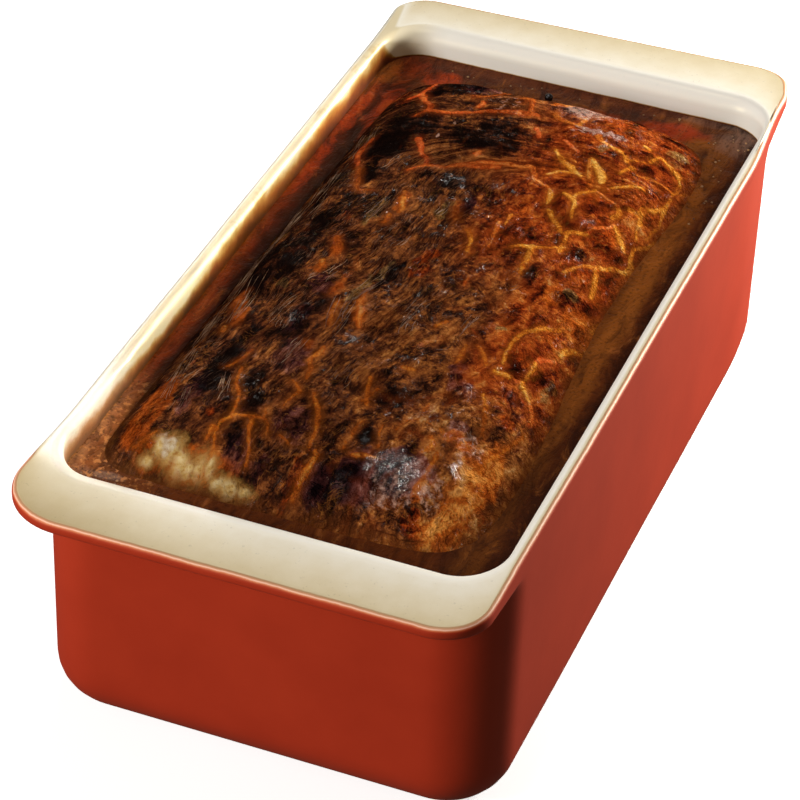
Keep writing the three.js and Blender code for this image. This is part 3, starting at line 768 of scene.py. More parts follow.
def raiseLoaf(x, y, fields, forms):  # how deep inside the edge each place is, and its rise above the juice
    inside, rise = domeRise(x, y)
    lumpFirst, _ = cells(x / loaf["lumpSize"], y / loaf["lumpSize"], 5, 1)
    lumps = np.maximum(0, 1 - lumpFirst ** 2)
    total = rise + loaf["lump"] * (lumps - 0.5) * smooth(0, 12, inside)
    for centreX, centreY, halfX, halfY, turn, height in bulges:
        alongX, alongY = turned(x, y, centreX, centreY, turn)
        away = (alongX / halfX) ** 2 + (alongY / halfY) ** 2
        total = total + height * np.exp(-1.6 * away) * smooth(0, 9, inside)
    pillow = 1 - np.exp(-np.clip(fields["away"], 0, 5) / 2.2)
    shapes = {
        "ridge": 1 - smooth(-0.5, 0.8, fields["away"]),
        "pillow": pillow * (0.25 + 0.75 * forms["right"]),
        "fibre": forms["fibre"], "coarse": forms["coarse"], "pits": fields["pits"],
        "lobe": np.sqrt(np.clip(1 - fields["lobes"] ** 2, 0, 1)),
    }
    broken = sum(loaf["relief"][name] * shape for name, shape in shapes.items())
    total = total + (0.25 + 0.75 * smooth(0, 5, inside)) * broken - loaf["settle"]
    soft = loaf["headroom"]
    ceiling = crownZ - juiceZ - 0.2 - soft
    over = np.maximum(total - ceiling, 0)
    return inside, np.where(over > 0, ceiling + soft * (1 - np.exp(-over / soft)), total)


loafPiece, level, planX, planY, normalX, normalY = makeLoaf()
fields, forms, (warpedX, warpedY) = loafFields(planX, planY)
inside, rise = raiseLoaf(planX, planY, fields, forms)


def placeLoaf():
    footZ = juiceZ - loaf["jellyDepth"]
    rings = {  # of the skirt: height, and how far out
        1: (juiceZ - 4, 1.6), 2: (footZ, 6), 3: (footZ - 10, 6), 4: (loafLow.z + 9, 5), 5: (loafLow.z, -3),
    }
    points = np.stack([planX, planY, juiceZ + rise], 1)
    for ring, (height, outward) in rings.items():
        at = level == ring
        limitX = cavityHalfLength + cavityOffset(height) - 0.5
        limitY = cavityHalfWidth + cavityOffset(height) - 0.5
        points[at, 0] = np.clip(planX[at] + normalX[at] * outward, -limitX, limitX)
        points[at, 1] = np.clip(planY[at] + normalY[at] * outward, -limitY, limitY)
        points[at, 2] = height
    placePoints(loafPiece, points)


placeLoaf()
for name, values in fields.items():
    keepField(loafPiece, name, values)
keepField(loafPiece, "inside", inside)
raggedX, raggedY = 2 * grain(planX / 4, planY / 3, 91), 2 * grain(planX / 4, planY / 3, 93)
for name, rows in patches.items():
    keepField(loafPiece, name, patchField(warpedX + raggedX, warpedY + raggedY, rows))
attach(loafPiece, "root")
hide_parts("pate_loaf")
print("loaf made")

# Loose fibres that lie on the crust.
fibres = {
    "radius": 0.075, "lift": 0.12, "steps": 8, "seed": 7,
    "clusters": [  # from x, y to x, y, spread, how many
        (-95, 40, -78, 41.3, 3, 9), (-82.6, 47, -69.7, 43.4, 2.5, 8), (-60.6, 45.6, -57.7, 42, 2, 5),
        (-47.7, 33.4, -30.6, 30.2, 2.5, 10), (-51, 28.4, -40.6, 29.1, 2, 7), (-23.4, 31.3, -19, 28.4, 2, 5),
        (-22.7, 27, -9, 24, 2, 7), (-52, 14, -23, 16, 2.5, 9), (-30, 15.6, -5, 10.2, 1.6, 8),
        (-20, 50.6, -0.6, 56.3, 1.6, 6), (4.3, 22, 10.7, 19.9, 1.5, 6), (7, 18.4, 14.3, 16.3, 1.5, 6),
        (0, 14.1, 9.3, 11.3, 1.6, 6), (9, 27.7, 27, 25, 2, 8), (21, 9, 30, 7, 1.5, 6),
        (-35.6, -1.6, -19, -4.4, 2.5, 9), (-39.9, -5.5, -29.9, -5.1, 2, 6), (-37, -18, -20.6, -19.4, 2, 7),
        (-6.3, -23, -1.3, -25.9, 1.5, 5), (-76, -38, -71, -36, 2, 8), (-88, 30, -70, 33, 3, 9),
        (-66, 22, -50, 20, 3, 8), (10, 45, 26, 43, 2, 7), (-88, 47, -58, 49, 2.5, 14),
        (-60, 50, -30, 51.5, 2, 18), (-34, 51.5, 0, 52.5, 2, 20), (-4, 52, 28, 51, 2, 18),
        (20, 48, 48, 49, 2.5, 14), (-50, 42, -20, 46, 2, 12), (48, 47, 74, 48, 2, 10),
        (40, 33, 52, 30, 2, 6), (-70, 5, -56, 3, 3, 7),
    ],
}


def onTop(piece, x, y):  # height of a piece's surface at a place in plan
    hit, spot, _, _ = piece.ray_cast((x * mm, y * mm, 0.2), (0, 0, -1))
    return spot.z / mm if hit else juiceZ


def makeFibres():
    pick = random.Random(fibres["seed"])
    curve = bpy.data.curves.new("fibres", "CURVE")
    curve.dimensions = "3D"
    curve.bevel_depth = fibres["radius"] * mm
    curve.bevel_resolution = 0
    for startX, startY, endX, endY, spread, count in fibres["clusters"]:
        start, end = np.array([startX, startY]), np.array([endX, endY])
        run = end - start
        distance = np.hypot(*run)
        sideways = np.array([-run[1], run[0]]) / distance
        for _ in range(count):
            length = pick.uniform(0.25, 0.6)
            first = pick.uniform(0, 1 - length)
            offset = pick.gauss(0, spread / 2)
            lean, bow = pick.uniform(-0.12, 0.12), pick.uniform(-0.6, 0.6)
            spline = curve.splines.new("POLY")
            spline.points.add(fibres["steps"])
            for step, point in enumerate(spline.points):
                share = step / fibres["steps"]
                drift = offset + lean * distance * length * share + bow * math.sin(share * math.pi)
                x, y = start + run * (first + length * share) + sideways * drift
                point.co = (x * mm, y * mm, (onTop(loafPiece, x, y) + fibres["lift"]) * mm, 1)
                swell = math.sin(math.pi * min(1, 0.1 + 0.9 * share))
                point.radius = 0.25 + 0.75 * swell * pick.uniform(0.7, 1)
    holder = bpy.data.objects.new("fibre_curves", curve)
    bpy.context.collection.objects.link(holder)
    bpy.context.view_layer.update()
    finished = holder.evaluated_get(bpy.context.evaluated_depsgraph_get())
    shape = bpy.data.meshes.new_from_object(finished)
    bpy.data.objects.remove(holder)
    piece = bpy.data.objects.new("meat_fibres", shape)
    bpy.context.collection.objects.link(piece)
    shape.shade_smooth()
    return piece


fibrePiece = makeFibres()
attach(fibrePiece, "root")
print("fibres made")

# The juice, a ring that runs a little into the wall and under the loaf.
juice = {
    "reachIntoWall": 0.35, "reachUnderLoaf": 6, "meniscus": 0.7, "steps": 26, "facets": (16, 60, 150),
}


def makeJuice():
    facets, corners = juice["facets"], [dish["cavityCorner"]] * 4
    outer, outerNormal = roundedOutline(cavityHalfLength, cavityHalfWidth, corners, facets=facets)
    inner, innerNormal = roundedOutline(loafHalfLength, loafHalfWidth, loafRadii, (0, loafMiddle), facets)
    shift = edgeShift(inner[:, 0], inner[:, 1], innerNormal[:, 1])[:, None]
    footZ = juiceZ - loaf["jellyDepth"]
    outerTop = outer + outerNormal * (cavityOffset(juiceZ) + juice["reachIntoWall"])
    outerFoot = outer + outerNormal * (cavityOffset(footZ) + juice["reachIntoWall"])
    shore = inner + innerNormal * (shift - juice["reachUnderLoaf"])
    rings = []

    def addRing(flat, height):
        rings.append(np.hstack([flat, np.broadcast_to(height, (len(flat), 1))]))

    addRing(outerFoot, footZ)
    for share in np.arange(juice["steps"] + 1) / juice["steps"]:
        flat = outerTop + (shore - outerTop) * share
        x, y = flat[:, :1], flat[:, 1:]
        gap = np.linalg.norm(flat - outerTop, axis=1, keepdims=True)
        wrinkle = 0.25 * grain(x / 7, y / 7, 101) + 0.12 * grain(x / 2.5, y / 2.5, 103)
        addRing(flat, juiceZ - 0.5 + juice["meniscus"] * np.exp(-gap / 0.9) + wrinkle)
    addRing(shore, footZ)
    return wrapRings("juice_layer", rings, closed=True)


juicePatches = {
    "amber": [
        (100, -48, 12, 6, 0, 0.3), (109, -42, 4, 8, 20, 0.7), (112, 60, 9, 4, 0, 0.5),
        (-101, -51, 14, 6, 0, 0.12), (20, -52, 90, 2.5, 0, 0.35), (118, 5, 5, 20, 0, 0.25),
        (121, -40, 4, 14, 0, 0.4),
    ],
    "ruddy": [
        (114, -34, 5, 11, 12, 0.8), (66, 60, 40, 3, 0, 0.34), (114, 42, 5, 6, 0, 0.6),
        (112, -15, 5, 12, 0, 0.5), (90, 52, 20, 4, 0, 0.35), (116, 50, 6, 10, 0, 0.3),
    ],
    # pale: a painted sheen at the far right, and pale foam at the near left.
    "pale": [
        (117, -55, 8, 7, -25, 0.5), (-115, 51, 1.8, 5, 0, 0.9), (-116, 57, 3, 2.4, 0, 0.5),
        (124, -45, 2, 14, 0, 0.4),
    ],
}
juicePiece = makeJuice()
juiceX, juiceY, _ = meshPoints(juicePiece).T
juiceFields = {
    "fromWall": np.minimum(cavityHalfLength - np.abs(juiceX), cavityHalfWidth - np.abs(juiceY + 0.6)),
    "leftSide": smooth(44, 52, juiceY) * (1 - 0.6 * smooth(100, 112, juiceX)),
    "rightSide": smooth(44, 50, -juiceY),
    # nearRight: where the juice along the near part of the right wall is darkened as painted shadow.
    "nearRight": smooth(-20, -80, juiceX) * smooth(36, 48, -juiceY),
    # Near-left juice: a pale stain, painted lighter as painted light where it lies in shade.
    "paleStainAndLight": smooth(-62, -95, juiceX) * smooth(30, 50, juiceY),
}
bentX = juiceX + 3 * grain(juiceX / 8, juiceY / 8, 121)
bentY = juiceY + 2 * grain(juiceX / 8, juiceY / 8, 123)
for name, rows in juicePatches.items():
    juiceFields[name] = patchField(bentX, bentY, rows, 0.6)
for name, values in juiceFields.items():
    keepField(juicePiece, name, values)
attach(juicePiece, "root")
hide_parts("juice_jelly")
print("juice made")

# A peppercorn and crumbs on the juice.
bits = {
    "peppercorn": (116.5, 7, 1.4), "cornLift": 0.8, "cornSeed": 3,  # place in plan, radius
    "crumbs": 46, "crumbRadius": (0.2, 0.5), "squash": 0.6, "seed": 21,
    "zones": [  # low and high x, low and high y
        (118.5, 123, -58, 56), (112, 120, -60, -44), (-118, -114, 46, 58), (60, 112, -58, -52),
    ],
}


def addPebble(bm, x, y, z, radius, detail, pick, squash=1):
    made = bmesh.ops.create_icosphere(bm, subdivisions=detail, radius=radius * mm)["verts"]
    for vert in made:
        vert.co *= 1 + pick.uniform(-0.12, 0.12)
        vert.co.z *= squash
    spin = Quaternion((0, 0, 1), pick.uniform(0, 6.3)).to_matrix()
    bmesh.ops.rotate(bm, verts=made, cent=(0, 0, 0), matrix=spin)
    bmesh.ops.translate(bm, verts=made, vec=(x * mm, y * mm, z * mm))


def makeBits():
    pick = random.Random(bits["seed"])
    x, y, radius = bits["peppercorn"]
    bm = bmesh.new()
    height = onTop(juicePiece, x, y) + bits["cornLift"]
    addPebble(bm, x, y, height, radius, 3, random.Random(bits["cornSeed"]))
    bmesh.ops.smooth_vert(bm, verts=bm.verts, factor=0.5, use_axis_x=True, use_axis_y=True, use_axis_z=True)
    corn = finishMesh("peppercorn", bm)
    bm = bmesh.new()
    for index in range(bits["crumbs"]):
        lowX, highX, lowY, highY = bits["zones"][index % len(bits["zones"])]
        x, y = pick.uniform(lowX, highX), pick.uniform(lowY, highY)
        radius = pick.uniform(*bits["crumbRadius"])
        addPebble(bm, x, y, onTop(juicePiece, x, y) + 0.15 * radius, radius, 1, pick, bits["squash"])
    crumbs = finishMesh("crust_crumbs", bm)
    return corn, crumbs


cornPiece, crumbPiece = makeBits()
for piece in (cornPiece, crumbPiece):
    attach(piece, "root")
print("bits made")

glazeShades = {  # places on a ramp with their screen colours, or one colour
    "red": [(0.3, (176, 46, 22)), (0.7, (186, 52, 26))],
    "cream": [(0, (218, 202, 164)), (0.4, (232, 220, 190)), (0.9, (247, 241, 223))],
    "golden": [(0, (78, 30, 11)), (0.22, (108, 48, 14)), (0.42, (140, 82, 26)), (0.62, (170, 124, 56)),
               (0.8, (200, 170, 110)), (1, (222, 208, 172))],
    "amber": [(0, (92, 38, 12)), (0.25, (124, 66, 20)), (0.5, (180, 132, 70)), (0.72, (232, 214, 180)),
              (1, (250, 246, 234))],
    # pinkish: the near-left stain, painted lighter than the stain is, as painted light.
    "pinkish": [(0, (122, 70, 36)), (0.3, (166, 108, 64)), (0.58, (206, 160, 116)), (0.8, (234, 214, 184)),
                (1, (247, 241, 224))],
    # The rim band: orange edge and brown glaze break, with a pale pink stop that is a painted highlight
    # along the rim's outer edge.
    "band": [(0.34, (182, 52, 26)), (0.46, (214, 110, 66)), (0.58, (255, 206, 176)),
             (0.68, (206, 140, 104)), (0.82, (178, 134, 94)), (0.98, (212, 192, 152))],
    "shadow": (0.7, 0.66, 0.58, 1),  # what it leaves of each channel
}


def dishMaterial():
    look = Look("two-tone glaze")
    place = look.place()
    cloud = look.noise(place, 40, 4)
    wisps = look.noise(place, 150, 5, 0.62)
    speck = look.noise(place, 900, 2)
    lip = look.field("leftLip")
    glaze = look.sum(look.field("glaze"), [(lip, 0, 1)])
    across = look.times(look.math("SUBTRACT", glaze, 1), 2.2, clamp=True)  # over the flat top, inwards
    cream = look.ramp(look.sum(across, [(wisps, 0.5, 0.5)]), glazeShades["cream"])
    # Painted shade: the cream is darkened on the left lip's outer edge.
    cream = look.mix(1, cream, look.ramp(lip, [(0, 1), (1, 0.84)]), "MULTIPLY")
    cream = look.mix(look.field("shaded"), cream, look.mix(1, cream, glazeShades["shadow"], "MULTIPLY"))
    cream = look.mix(1, cream, look.ramp(speck, [(0.26, 0.86), (0.33, 1)]), "MULTIPLY")
    inside = look.ramp(look.times(glaze, 0.5), [(0.72, 0), (0.76, 1)])
    cream = look.mix(inside, cream, stainColour(look, place, wisps, cloud))
    wander = look.sum(glaze, [(wisps, 0.5, 0.25)])
    # The pale line in this band is a painted highlight on the rim's outer edge.
    band = look.ramp(wander, glazeShades["band"])  # where red turns to cream at the rim
    red = look.ramp(cloud, glazeShades["red"])
    colour = look.mix(look.ramp(wander, [(0.32, 0), (0.36, 1)]), red, band)
    look.give("Base Color", look.mix(look.ramp(glaze, [(0.9, 0), (0.93, 1)]), colour, cream))
    look.give("Roughness", look.ramp(glaze, [(0.3, 0.55), (0.9, 0.35)]))
    look.give("Normal", look.bump(wisps, 0.1, 0.0005))
    look.give("Specular IOR Level", 0.45)
    look.give("Specular Tint", (1, 0.85, 0.5, 1))
    return look.material


def stainColour(look, place, wisps, cloud):  # juice baked on to the cavity wall, fading upwards, with painted light in the near-left corner
    height = look.node("ShaderNodeSeparateXYZ", {"Vector": place}).outputs[2]
    above = look.times(look.math("SUBTRACT", height, juiceZ * mm), 1 / mm)
    level = look.math("DIVIDE", above, look.field("stainHeight"))
    level = look.sum(level, [(wisps, 0.5, 0.9), (cloud, 0.5, 0.6)])
    names = ("golden", "amber", "pinkish")
    golden, amber, pinkish = (look.ramp(level, glazeShades[name]) for name in names)
    golden = look.mix(look.field("leftWall"), amber, golden)
    # Near-left corner: the pinkish stain, painted lighter as painted light.
    return look.mix(look.field("paleStainAndLight"), golden, pinkish)


crustShades = {
    "brown": [(0.04, (15, 7, 5)), (0.24, (48, 23, 13)), (0.40, (94, 48, 23)), (0.54, (136, 76, 34)),
              (0.70, (174, 108, 50)), (0.92, (214, 164, 98))],
    "tawny": [(0.04, (22, 7, 3)), (0.24, (72, 21, 8)), (0.40, (124, 43, 14)), (0.54, (162, 70, 23)),
              (0.70, (198, 106, 38)), (0.92, (230, 164, 80))],
    "russet": [(0.04, (16, 5, 3)), (0.26, (70, 21, 8)), (0.44, (136, 46, 12)), (0.62, (190, 84, 22)),
               (0.9, (228, 146, 60))],
    "olive": [(0.04, (14, 10, 6)), (0.28, (58, 40, 20)), (0.46, (110, 80, 40)), (0.68, (160, 126, 68)),
              (0.92, (206, 180, 118))],
    "amber": [(0.1, (60, 22, 6)), (0.35, (134, 54, 12)), (0.6, (186, 88, 24)), (0.9, (230, 146, 58))],
    "plum": [(0.04, (14, 5, 7)), (0.3, (56, 25, 25)), (0.5, (102, 56, 52)), (0.9, (194, 144, 134))],
    "webShade": [(0.35, (122, 62, 20)), (0.65, (196, 124, 52))],
    "orange": [(0, (110, 32, 10)), (0.4, (200, 72, 26)), (0.7, (236, 120, 54)), (1, (244, 170, 110))],
    "golden": [(0, (104, 42, 10)), (0.4, (180, 84, 20)), (0.7, (224, 140, 40)), (1, (250, 202, 100))],
    "haloShade": [(0.1, (130, 42, 14)), (0.8, (146, 72, 20))],
    "fat": [(0.3, (160, 108, 50)), (0.45, (200, 166, 100)), (0.65, (228, 210, 158))],
    "paleShade": [(0.3, (146, 114, 82)), (0.6, (202, 186, 160))],
    "filmAndHighlights": [(0.3, (126, 76, 56)), (0.7, (212, 168, 144))],
    "leftRim": [(0.5, (124, 72, 36)), (1, (34, 15, 8))],
    "rightRim": (112, 58, 24), "hair": (150, 112, 88), "fatEdge": (164, 116, 56),
    "orangeCore": (240, 130, 66), "goldenCore": (246, 188, 88),
}


def crustTextures(look):  # the noises, creases and hairs that the crust layers share
    place = look.place()
    fibrous, warm = look.field("fibrous"), look.field("warm")
    fine = look.noise(place, 1600, 3, 0.6)
    mid = look.noise(place, 520, 4, 0.62)
    mottle = look.noise(place, 170, 5, 0.62, 0.5)
    patchy = look.noise(place, 75, 4, 0.6, 0.5)
    hue = look.noise(look.flow(0.07, 0.14, 8), 1, 4, 0.6, 0.5)
    broad = look.noise(look.flow(0.07, 0.2), 1, 5, 0.62, 0.4)
    streak = look.noise(look.flow(0.2, 0.8, 3), 1, 5, 0.66, 0.5)
    streak = look.mix(fibrous, mottle, streak)
    hairs = look.noise(look.flow(0.22, 3.4, 6), 1, 3, 0.65, 0.2)
    threads = look.mix(fibrous, mid, hairs)
    winding = look.noise(place, 130, 2, 0.5, 1.2)
    alongside = look.noise(look.flow(0.09, 0.5, 9), 1, 2, 0.5, 0.8)
    lines = look.mix(fibrous, winding, alongside)
    # Creases darken the colour as painted shade and ridges lighten it as painted highlight; both also shape
    # the bump, and ridges feed the golden webs.
    creases = look.ramp(lines, [(0.45, 0), (0.475, 1), (0.5, 0)])
    ridges = look.ramp(lines, [(0.53, 0), (0.55, 1), (0.57, 0)])
    ridges = look.times(ridges, look.ramp(patchy, [(0.42, 0), (0.58, 1)]))
    hairy = look.ramp(hairs, [(0.57, 0), (0.68, 1)])
    hairy = look.times(hairy, look.ramp(patchy, [(0.44, 0), (0.6, 0.75)]))
    return SimpleNamespace(
        place=place, fibrous=fibrous, warm=warm, fine=fine, mid=mid, mottle=mottle, patchy=patchy, hue=hue,
        broad=broad, streak=streak, threads=threads, creases=creases, ridges=ridges,
        hairy=look.times(hairy, fibrous))


def meatColour(look, skin):  # browned meat, redder, greener, darker or brighter in patches
    grainy = look.ramp(skin.patchy, [(0.36, 0.35), (0.62, 1)])
    grainy = look.times(grainy, look.ramp(skin.warm, [(0, 0.75), (1, 0.6)]))
    roughTone = look.sum(0, [(skin.threads, 0.5, 1.0), (skin.fine, 0.5, 0.7), (skin.mid, 0.5, 0.5)])
    roughTone = look.times(grainy, roughTone)
    char = look.field("char")
    # Painted shade along creases and in pits, painted highlight along ridges.
    tone = look.sum(look.field("tone"), [
        (skin.broad, 0.5, 1.2), (skin.streak, 0.5, 1.3), (roughTone, 0, 1),
        (skin.creases, 0.15, -0.15), (skin.ridges, 0.05, 0.13),
        (look.field("glow"), 0, 0.14), (char, 0.1, -0.36), (look.field("pits"), 0, -0.1)])
    brown, tawny = (look.ramp(tone, crustShades[name]) for name in ("brown", "tawny"))
    colour = look.mix(skin.warm, brown, tawny)
    turns = (("red", "russet", skin.hue, 1.7), ("olive", "olive", skin.broad, 1.5),
             ("plum", "plum", skin.hue, 1.4), ("glow", "amber", skin.hue, 0.9))
    for name, shade, wander, reach in turns:
        spread = look.sum(look.field(name), [(wander, 0.5, reach), (skin.mid, 0.5, 0.6)])
        share = look.ramp(spread, [(0.22, 0), (0.6, 0.85)])
        colour = look.mix(share, colour, look.ramp(tone, crustShades[shade]))
    webs = look.ramp(look.noise(skin.place, 190, 3, 0.55, 1.4), [(0.465, 0), (0.49, 1), (0.515, 0)])
    webs = look.times(webs, look.ramp(skin.hue, [(0.46, 0), (0.62, 0.45)]))
    webs = look.math("MAXIMUM", webs, look.times(skin.ridges, 0.35))
    webs = look.times(webs, look.ramp(char, [(0.1, 1), (0.5, 0)]))
    colour = look.mix(webs, colour, look.ramp(skin.mid, crustShades["webShade"]))
    return look.mix(skin.hairy, colour, crustShades["hair"])


def netOver(look, skin, colour):  # strands of caul fat, each with a halo and a bright core
    frayed = look.sum(0, [(skin.mid, 0.5, 2.2), (skin.fine, 0.5, 2.4), (skin.threads, 0.5, 2.0)])
    frayed = look.times(frayed, look.ramp(skin.warm, [(0, 0.5), (1, 0.45)]))
    away = look.sum(look.field("away"), [(frayed, 0, 1), (skin.mottle, 0.5, 1.1)])
    goldness = look.field("gold")
    goldShare = look.ramp(goldness, [(0.2, 0), (0.62, 1)])
    # The strands are darkened where creases cross them, as painted shade.
    lightness = look.sum(0.42, [(skin.mid, 0.5, 1.2), (skin.fine, 0.5, 1.2), (skin.mottle, 0.5, 1.0),
                                (skin.warm, 0, 0.24), (skin.creases, 0, -0.1)])
    orange, golden = (look.ramp(lightness, crustShades[name]) for name in ("orange", "golden"))
    golden = look.mix(look.ramp(skin.warm, [(0, 0.2), (1, 0)]), golden, colour)
    halo = look.times(look.fade(away, -0.2, 2.4), look.ramp(skin.warm, [(0, 0.3), (1, 0.55)]))
    colour = look.mix(halo, colour, look.ramp(goldness, crustShades["haloShade"]))
    strength = look.ramp(goldness, [(0.2, 1), (0.45, 0.75), (0.5, 0.4), (0.55, 0.75), (0.8, 1)])
    strength = look.math("MAXIMUM", skin.warm, strength)  # middling gold is fainter on the brown side
    strength = look.times(look.ramp(skin.mottle, [(0.34, 0.5), (0.56, 1)]), strength)
    strand = look.times(look.fade(away, -0.25, 0.25), strength)
    colour = look.mix(strand, colour, look.mix(goldShare, orange, golden))
    core = look.times(look.fade(away, -1.3, -0.35), look.ramp(skin.mottle, [(0.42, 0), (0.56, 0.75)]))
    core = look.times(core, look.ramp(goldness, [(0.46, 0.9), (0.49, 0), (0.51, 0), (0.54, 0.9)]))
    coreShade = look.mix(goldShare, crustShades["orangeCore"], crustShades["goldenCore"])
    return look.mix(core, colour, coreShade)


def fatOver(look, skin, colour):  # white fat, pale bits, a greasy film with painted highlights and reflections, and the damp edge
    lobeEdge = look.sum(look.field("lobes"), [(skin.mid, 0.5, 2.0), (skin.mottle, 0.5, 2.4),
                                              (skin.threads, 0.5, 0.6)])
    colour = look.mix(look.times(look.fade(lobeEdge, 1.0, 2.6), 0.6), colour, crustShades["fatEdge"])
    fat, paleShade, filmAndHighlights = (look.ramp(skin.mid, crustShades[name]) for name in ("fat", "paleShade", "filmAndHighlights"))
    colour = look.mix(look.times(look.fade(lobeEdge, 0.2, 1.5), 0.82), colour, fat)
    paleEdge = look.sum(look.field("pale"), [(skin.mottle, 0.5, 1.2), (skin.mid, 0.5, 0.8)])
    colour = look.mix(look.ramp(paleEdge, [(0.3, 0), (0.8, 0.85)]), colour, paleShade)
    # Painted highlights and reflections: the film patches turn the crust pale pink.
    filmHighlightEdge = look.sum(look.field("filmAndHighlights"), [(skin.threads, 0.5, 1.8), (skin.mid, 0.5, 0.8)])
    colour = look.mix(look.ramp(filmHighlightEdge, [(0.4, 0), (0.85, 0.7)]), colour, filmAndHighlights)
    x, y, _ = look.node("ShaderNodeSeparateXYZ", {"Vector": skin.place}).outputs
    leftRim = look.ramp(look.sum(0, [(x, -0.15, 10)]), crustShades["leftRim"])
    leftShare = look.ramp(look.times(y, 10), [(0.3, 0), (0.46, 1)])
    rim = look.mix(leftShare, crustShades["rightRim"], leftRim)
    edge = look.sum(look.field("inside"), [(skin.mottle, 0.5, 8)])
    return look.mix(look.times(look.fade(edge, -1, 4.5), 0.7), colour, rim)


def loafMaterial():
    look = Look("baked crust")
    skin = crustTextures(look)
    look.give("Base Color", fatOver(look, skin, netOver(look, skin, meatColour(look, skin))))
    relief = look.sum(0, [(skin.threads, 0.5, 1.2), (skin.streak, 0.5, 1.0), (skin.mid, 0.5, 1.0),
                          (skin.fine, 0.5, 0.6), (skin.creases, 0, -0.3), (skin.ridges, 0, 0.3)])
    bump = look.bump(relief, 0.9, 0.0011)
    look.give("Normal", bump)
    look.give("Coat Normal", bump)
    glints = look.ramp(look.noise(skin.place, 360, 3, 0.6, 0.4), [(0.53, 0), (0.62, 0.7)])
    glints = look.times(glints, look.ramp(skin.patchy, [(0.42, 0.1), (0.6, 1)]))
    shine = look.sum(0.05, [
        (glints, 0, 1), (look.field("sheen"), 0, 1.0), (look.field("filmAndHighlights"), 0, 0.3),
        (look.field("pale"), 0, 0.4), (skin.hairy, 0, 0.4), (skin.mottle, 0.5, 1.2)])
    look.give("Coat Weight", look.ramp(shine, [(0.1, 0), (0.4, 0.12), (1, 0.9)]))
    look.give("Coat Roughness", 0.14)
    look.give("Roughness", 0.6)
    look.give("Specular IOR Level", 0.0)
    return look.material


fibreShades = [(0.38, (78, 44, 26)), (0.5, (120, 82, 56)), (0.62, (172, 138, 108))]


def fibreMaterial():
    look = Look("meat fibre")
    look.give("Base Color", look.ramp(look.noise(look.place(), 160, 3, 0.6), fibreShades))
    look.give("Roughness", 0.45)
    look.give("Specular IOR Level", 0.14)
    return look.material


juiceShades = {
    "left": [(0, (122, 66, 22)), (0.18, (112, 46, 16)), (0.4, (92, 32, 12)), (0.6, (56, 21, 10)),
             (0.85, (36, 15, 8))],
    # right: darkest by the wall, a painted shadow of the rim, turning amber where thin jelly lies over the
    # loaf.
    "right": [(0.05, (22, 9, 5)), (0.28, (36, 15, 8)), (0.46, (60, 27, 12)), (0.7, (92, 44, 17)),
              (0.95, (132, 72, 26))],
    "ends": [(0, (92, 48, 28)), (0.3, (100, 50, 26)), (0.6, (86, 40, 20)), (0.9, (96, 46, 18))],
    # The near-left juice: a pale stain, painted lighter as painted light where it lies in shade.
    "paleStainAndLight": [(0, (178, 122, 78)), (0.5, (150, 86, 42)), (0.9, (100, 52, 25))],
    # nearRight is a painted shadow colour.
    "nearRight": (48, 22, 11), "deep": (40, 16, 9), "thin": (176, 104, 44), "crumbly": (206, 138, 76),
    # pale is a painted sheen at the far right and pale foam at the near left.
    "amber": (172, 96, 32), "ruddy": (190, 62, 18), "pale": (142, 112, 94),
}


def juiceMaterial():
    look = Look("set juice")
    shades, place = juiceShades, look.place()
    cloud = look.noise(place, 70, 5, 0.6, 0.8)
    streak = look.noise(look.place((0.25, 1, 1)), 420, 4, 0.62, 0.4)
    swirl = look.noise(look.place((0.4, 1, 1)), 150, 5, 0.66, 1.4)
    grit = look.noise(place, 900, 3, 0.6)
    paleStainAndLight = look.field("paleStainAndLight")
    fromWall = look.times(look.field("fromWall"), 0.1)
    fromWall = look.sum(fromWall, [(cloud, 0.5, 0.5), (streak, 0.5, 0.35)])
    across = {name: look.ramp(fromWall, shades[name]) for name in ("left", "right", "ends", "paleStainAndLight")}
    # Painted shadow: the right strip darkens towards the wall, and more at the near-right.
    colour = look.mix(look.field("rightSide"), across["ends"], across["right"])
    colour = look.mix(look.times(look.field("nearRight"), 0.6), colour, shades["nearRight"])
    colour = look.mix(look.field("leftSide"), colour, across["left"])
    # Painted light: the near-left juice is lightened over its pale stain.
    colour = look.mix(look.times(paleStainAndLight, 0.95), colour, across["paleStainAndLight"])
    # Amber and ruddy are the juice's own colour; pale is a painted sheen at the far right and pale foam at
    # the near left.
    for name, most in (("amber", 0.8), ("ruddy", 0.85), ("pale", 0.7)):
        spread = look.sum(look.field(name), [(swirl, 0.5, 1.1)])
        colour = look.mix(look.ramp(spread, [(0.15, 0), (0.75, most)]), colour, shades[name])
    colour = look.mix(look.ramp(swirl, [(0.3, 0.75), (0.5, 0)]), colour, shades["deep"])
    colour = look.mix(look.ramp(swirl, [(0.55, 0), (0.78, 0.45)]), colour, shades["thin"])
    colour = look.mix(look.ramp(grit, [(0.34, 0.5), (0.46, 0)]), colour, shades["deep"])
    crumbly = look.ramp(look.noise(place, 460, 4, 0.62), [(0.52, 0), (0.62, 0.8)])
    look.give("Base Color", look.mix(look.times(crumbly, paleStainAndLight), colour, shades["crumbly"]))
    relief = look.sum(0, [(cloud, 0.5, 1), (swirl, 0.5, 1.2), (grit, 0.5, 0.2)])
    look.give("Normal", look.bump(relief, 0.5, 0.0012))
    look.give("Roughness", 0.35)
    look.give("Specular IOR Level", 0.05)
    return look.material


grains = {  # dark and light colour, roughness
    "black pepper": ((8, 6, 6), (30, 22, 20), 0.25),
    "crumb": ((70, 34, 14), (196, 150, 96), 0.5),
}


def grainMaterial(name):
    dark, light, rough = grains[name]
    look = Look(name)
    shade = look.noise(look.place(), 300, 4, 0.6)
    look.give("Base Color", look.ramp(shade, [(0.35, dark), (0.65, light)]))
    look.give("Roughness", rough)
    return look.material


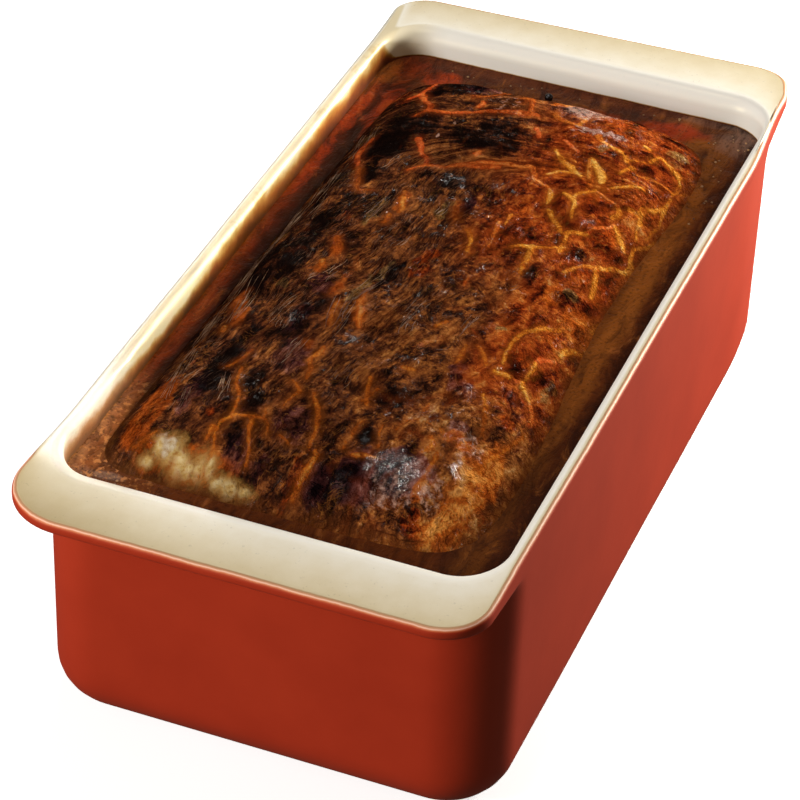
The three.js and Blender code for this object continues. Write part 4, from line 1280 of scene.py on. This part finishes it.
pieceMaterials = {
    dishPiece: dishMaterial(), loafPiece: loafMaterial(), juicePiece: juiceMaterial(),
    fibrePiece: fibreMaterial(), cornPiece: grainMaterial("black pepper"),
    crumbPiece: grainMaterial("crumb"),
}
for piece, material in pieceMaterials.items():
    piece.data.materials.append(material)
print("materials set")


studio = {
    "floorSize": 3, "floorGrey": 0.93, "floorGlow": 0.6, "surroundings": (1, 0.9, 0.75, 1),
    "surroundingLight": 0.1,
    "lights": {  # metres: place, size, power, colour, aim
        "front left": ((-0.95, 0.75, 0.55), 0.4, 12.9, (1, 0.975, 0.95), (0, 0, 0.06)),
        "back right": ((0.44, -0.27, 0.165), 0.14, 5.1, (1, 0.96, 0.88), (0, 0, 0.06)),
        "overhead": ((0.10, 0.06, 1.25), 0.2, 4.2, (0.95, 0.93, 1), (0, 0, 0.06)),
        "rim strip": ((-0.01, -0.398, 0.469), 0.24, 0.03, (1, 0.98, 0.94), (-0.02, 0.062, 0.083)),
    },
}


def makeStage():
    bm = bmesh.new()
    bmesh.ops.create_grid(bm, x_segments=1, y_segments=1, size=studio["floorSize"])
    floor = finishMesh("floor", bm)
    grey, look = studio["floorGrey"], Look("pale floor")
    look.give("Base Color", (grey, grey, grey, 1))
    look.give("Roughness", 0.9)
    look.give("Emission Color", (1, 1, 1, 1))
    look.give("Emission Strength", studio["floorGlow"])
    floor.data.materials.append(look.material)
    floor.visible_glossy = False  # keeps the glaze deep, as dark surroundings would
    floor.visible_diffuse = False
    world = bpy.data.worlds.new("studio")
    world.use_nodes = True
    background = world.node_tree.nodes["Background"].inputs
    background["Color"].default_value = studio["surroundings"]
    background["Strength"].default_value = studio["surroundingLight"]
    bpy.context.scene.world = world
    bpy.context.scene.view_settings.view_transform = "Standard"


def addLight(name, place, size, power, colour, aim):
    light = bpy.data.objects.new(name, bpy.data.lights.new(name, "AREA"))
    light.data.size = size
    light.data.energy = power
    light.data.color = colour
    light.location = place
    light.rotation_mode = "QUATERNION"
    light.rotation_quaternion = (Vector(aim) - Vector(place)).to_track_quat("-Z", "Y")
    bpy.context.scene.collection.objects.link(light)
    return light.data


makeStage()
lights = {name: addLight(name, *values) for name, values in studio["lights"].items()}
strip = lights["rim strip"]
strip.shape, strip.size_y, strip.spread = "RECTANGLE", 0.04, 0.1  # a narrow beam along the left rim
print("stage set")
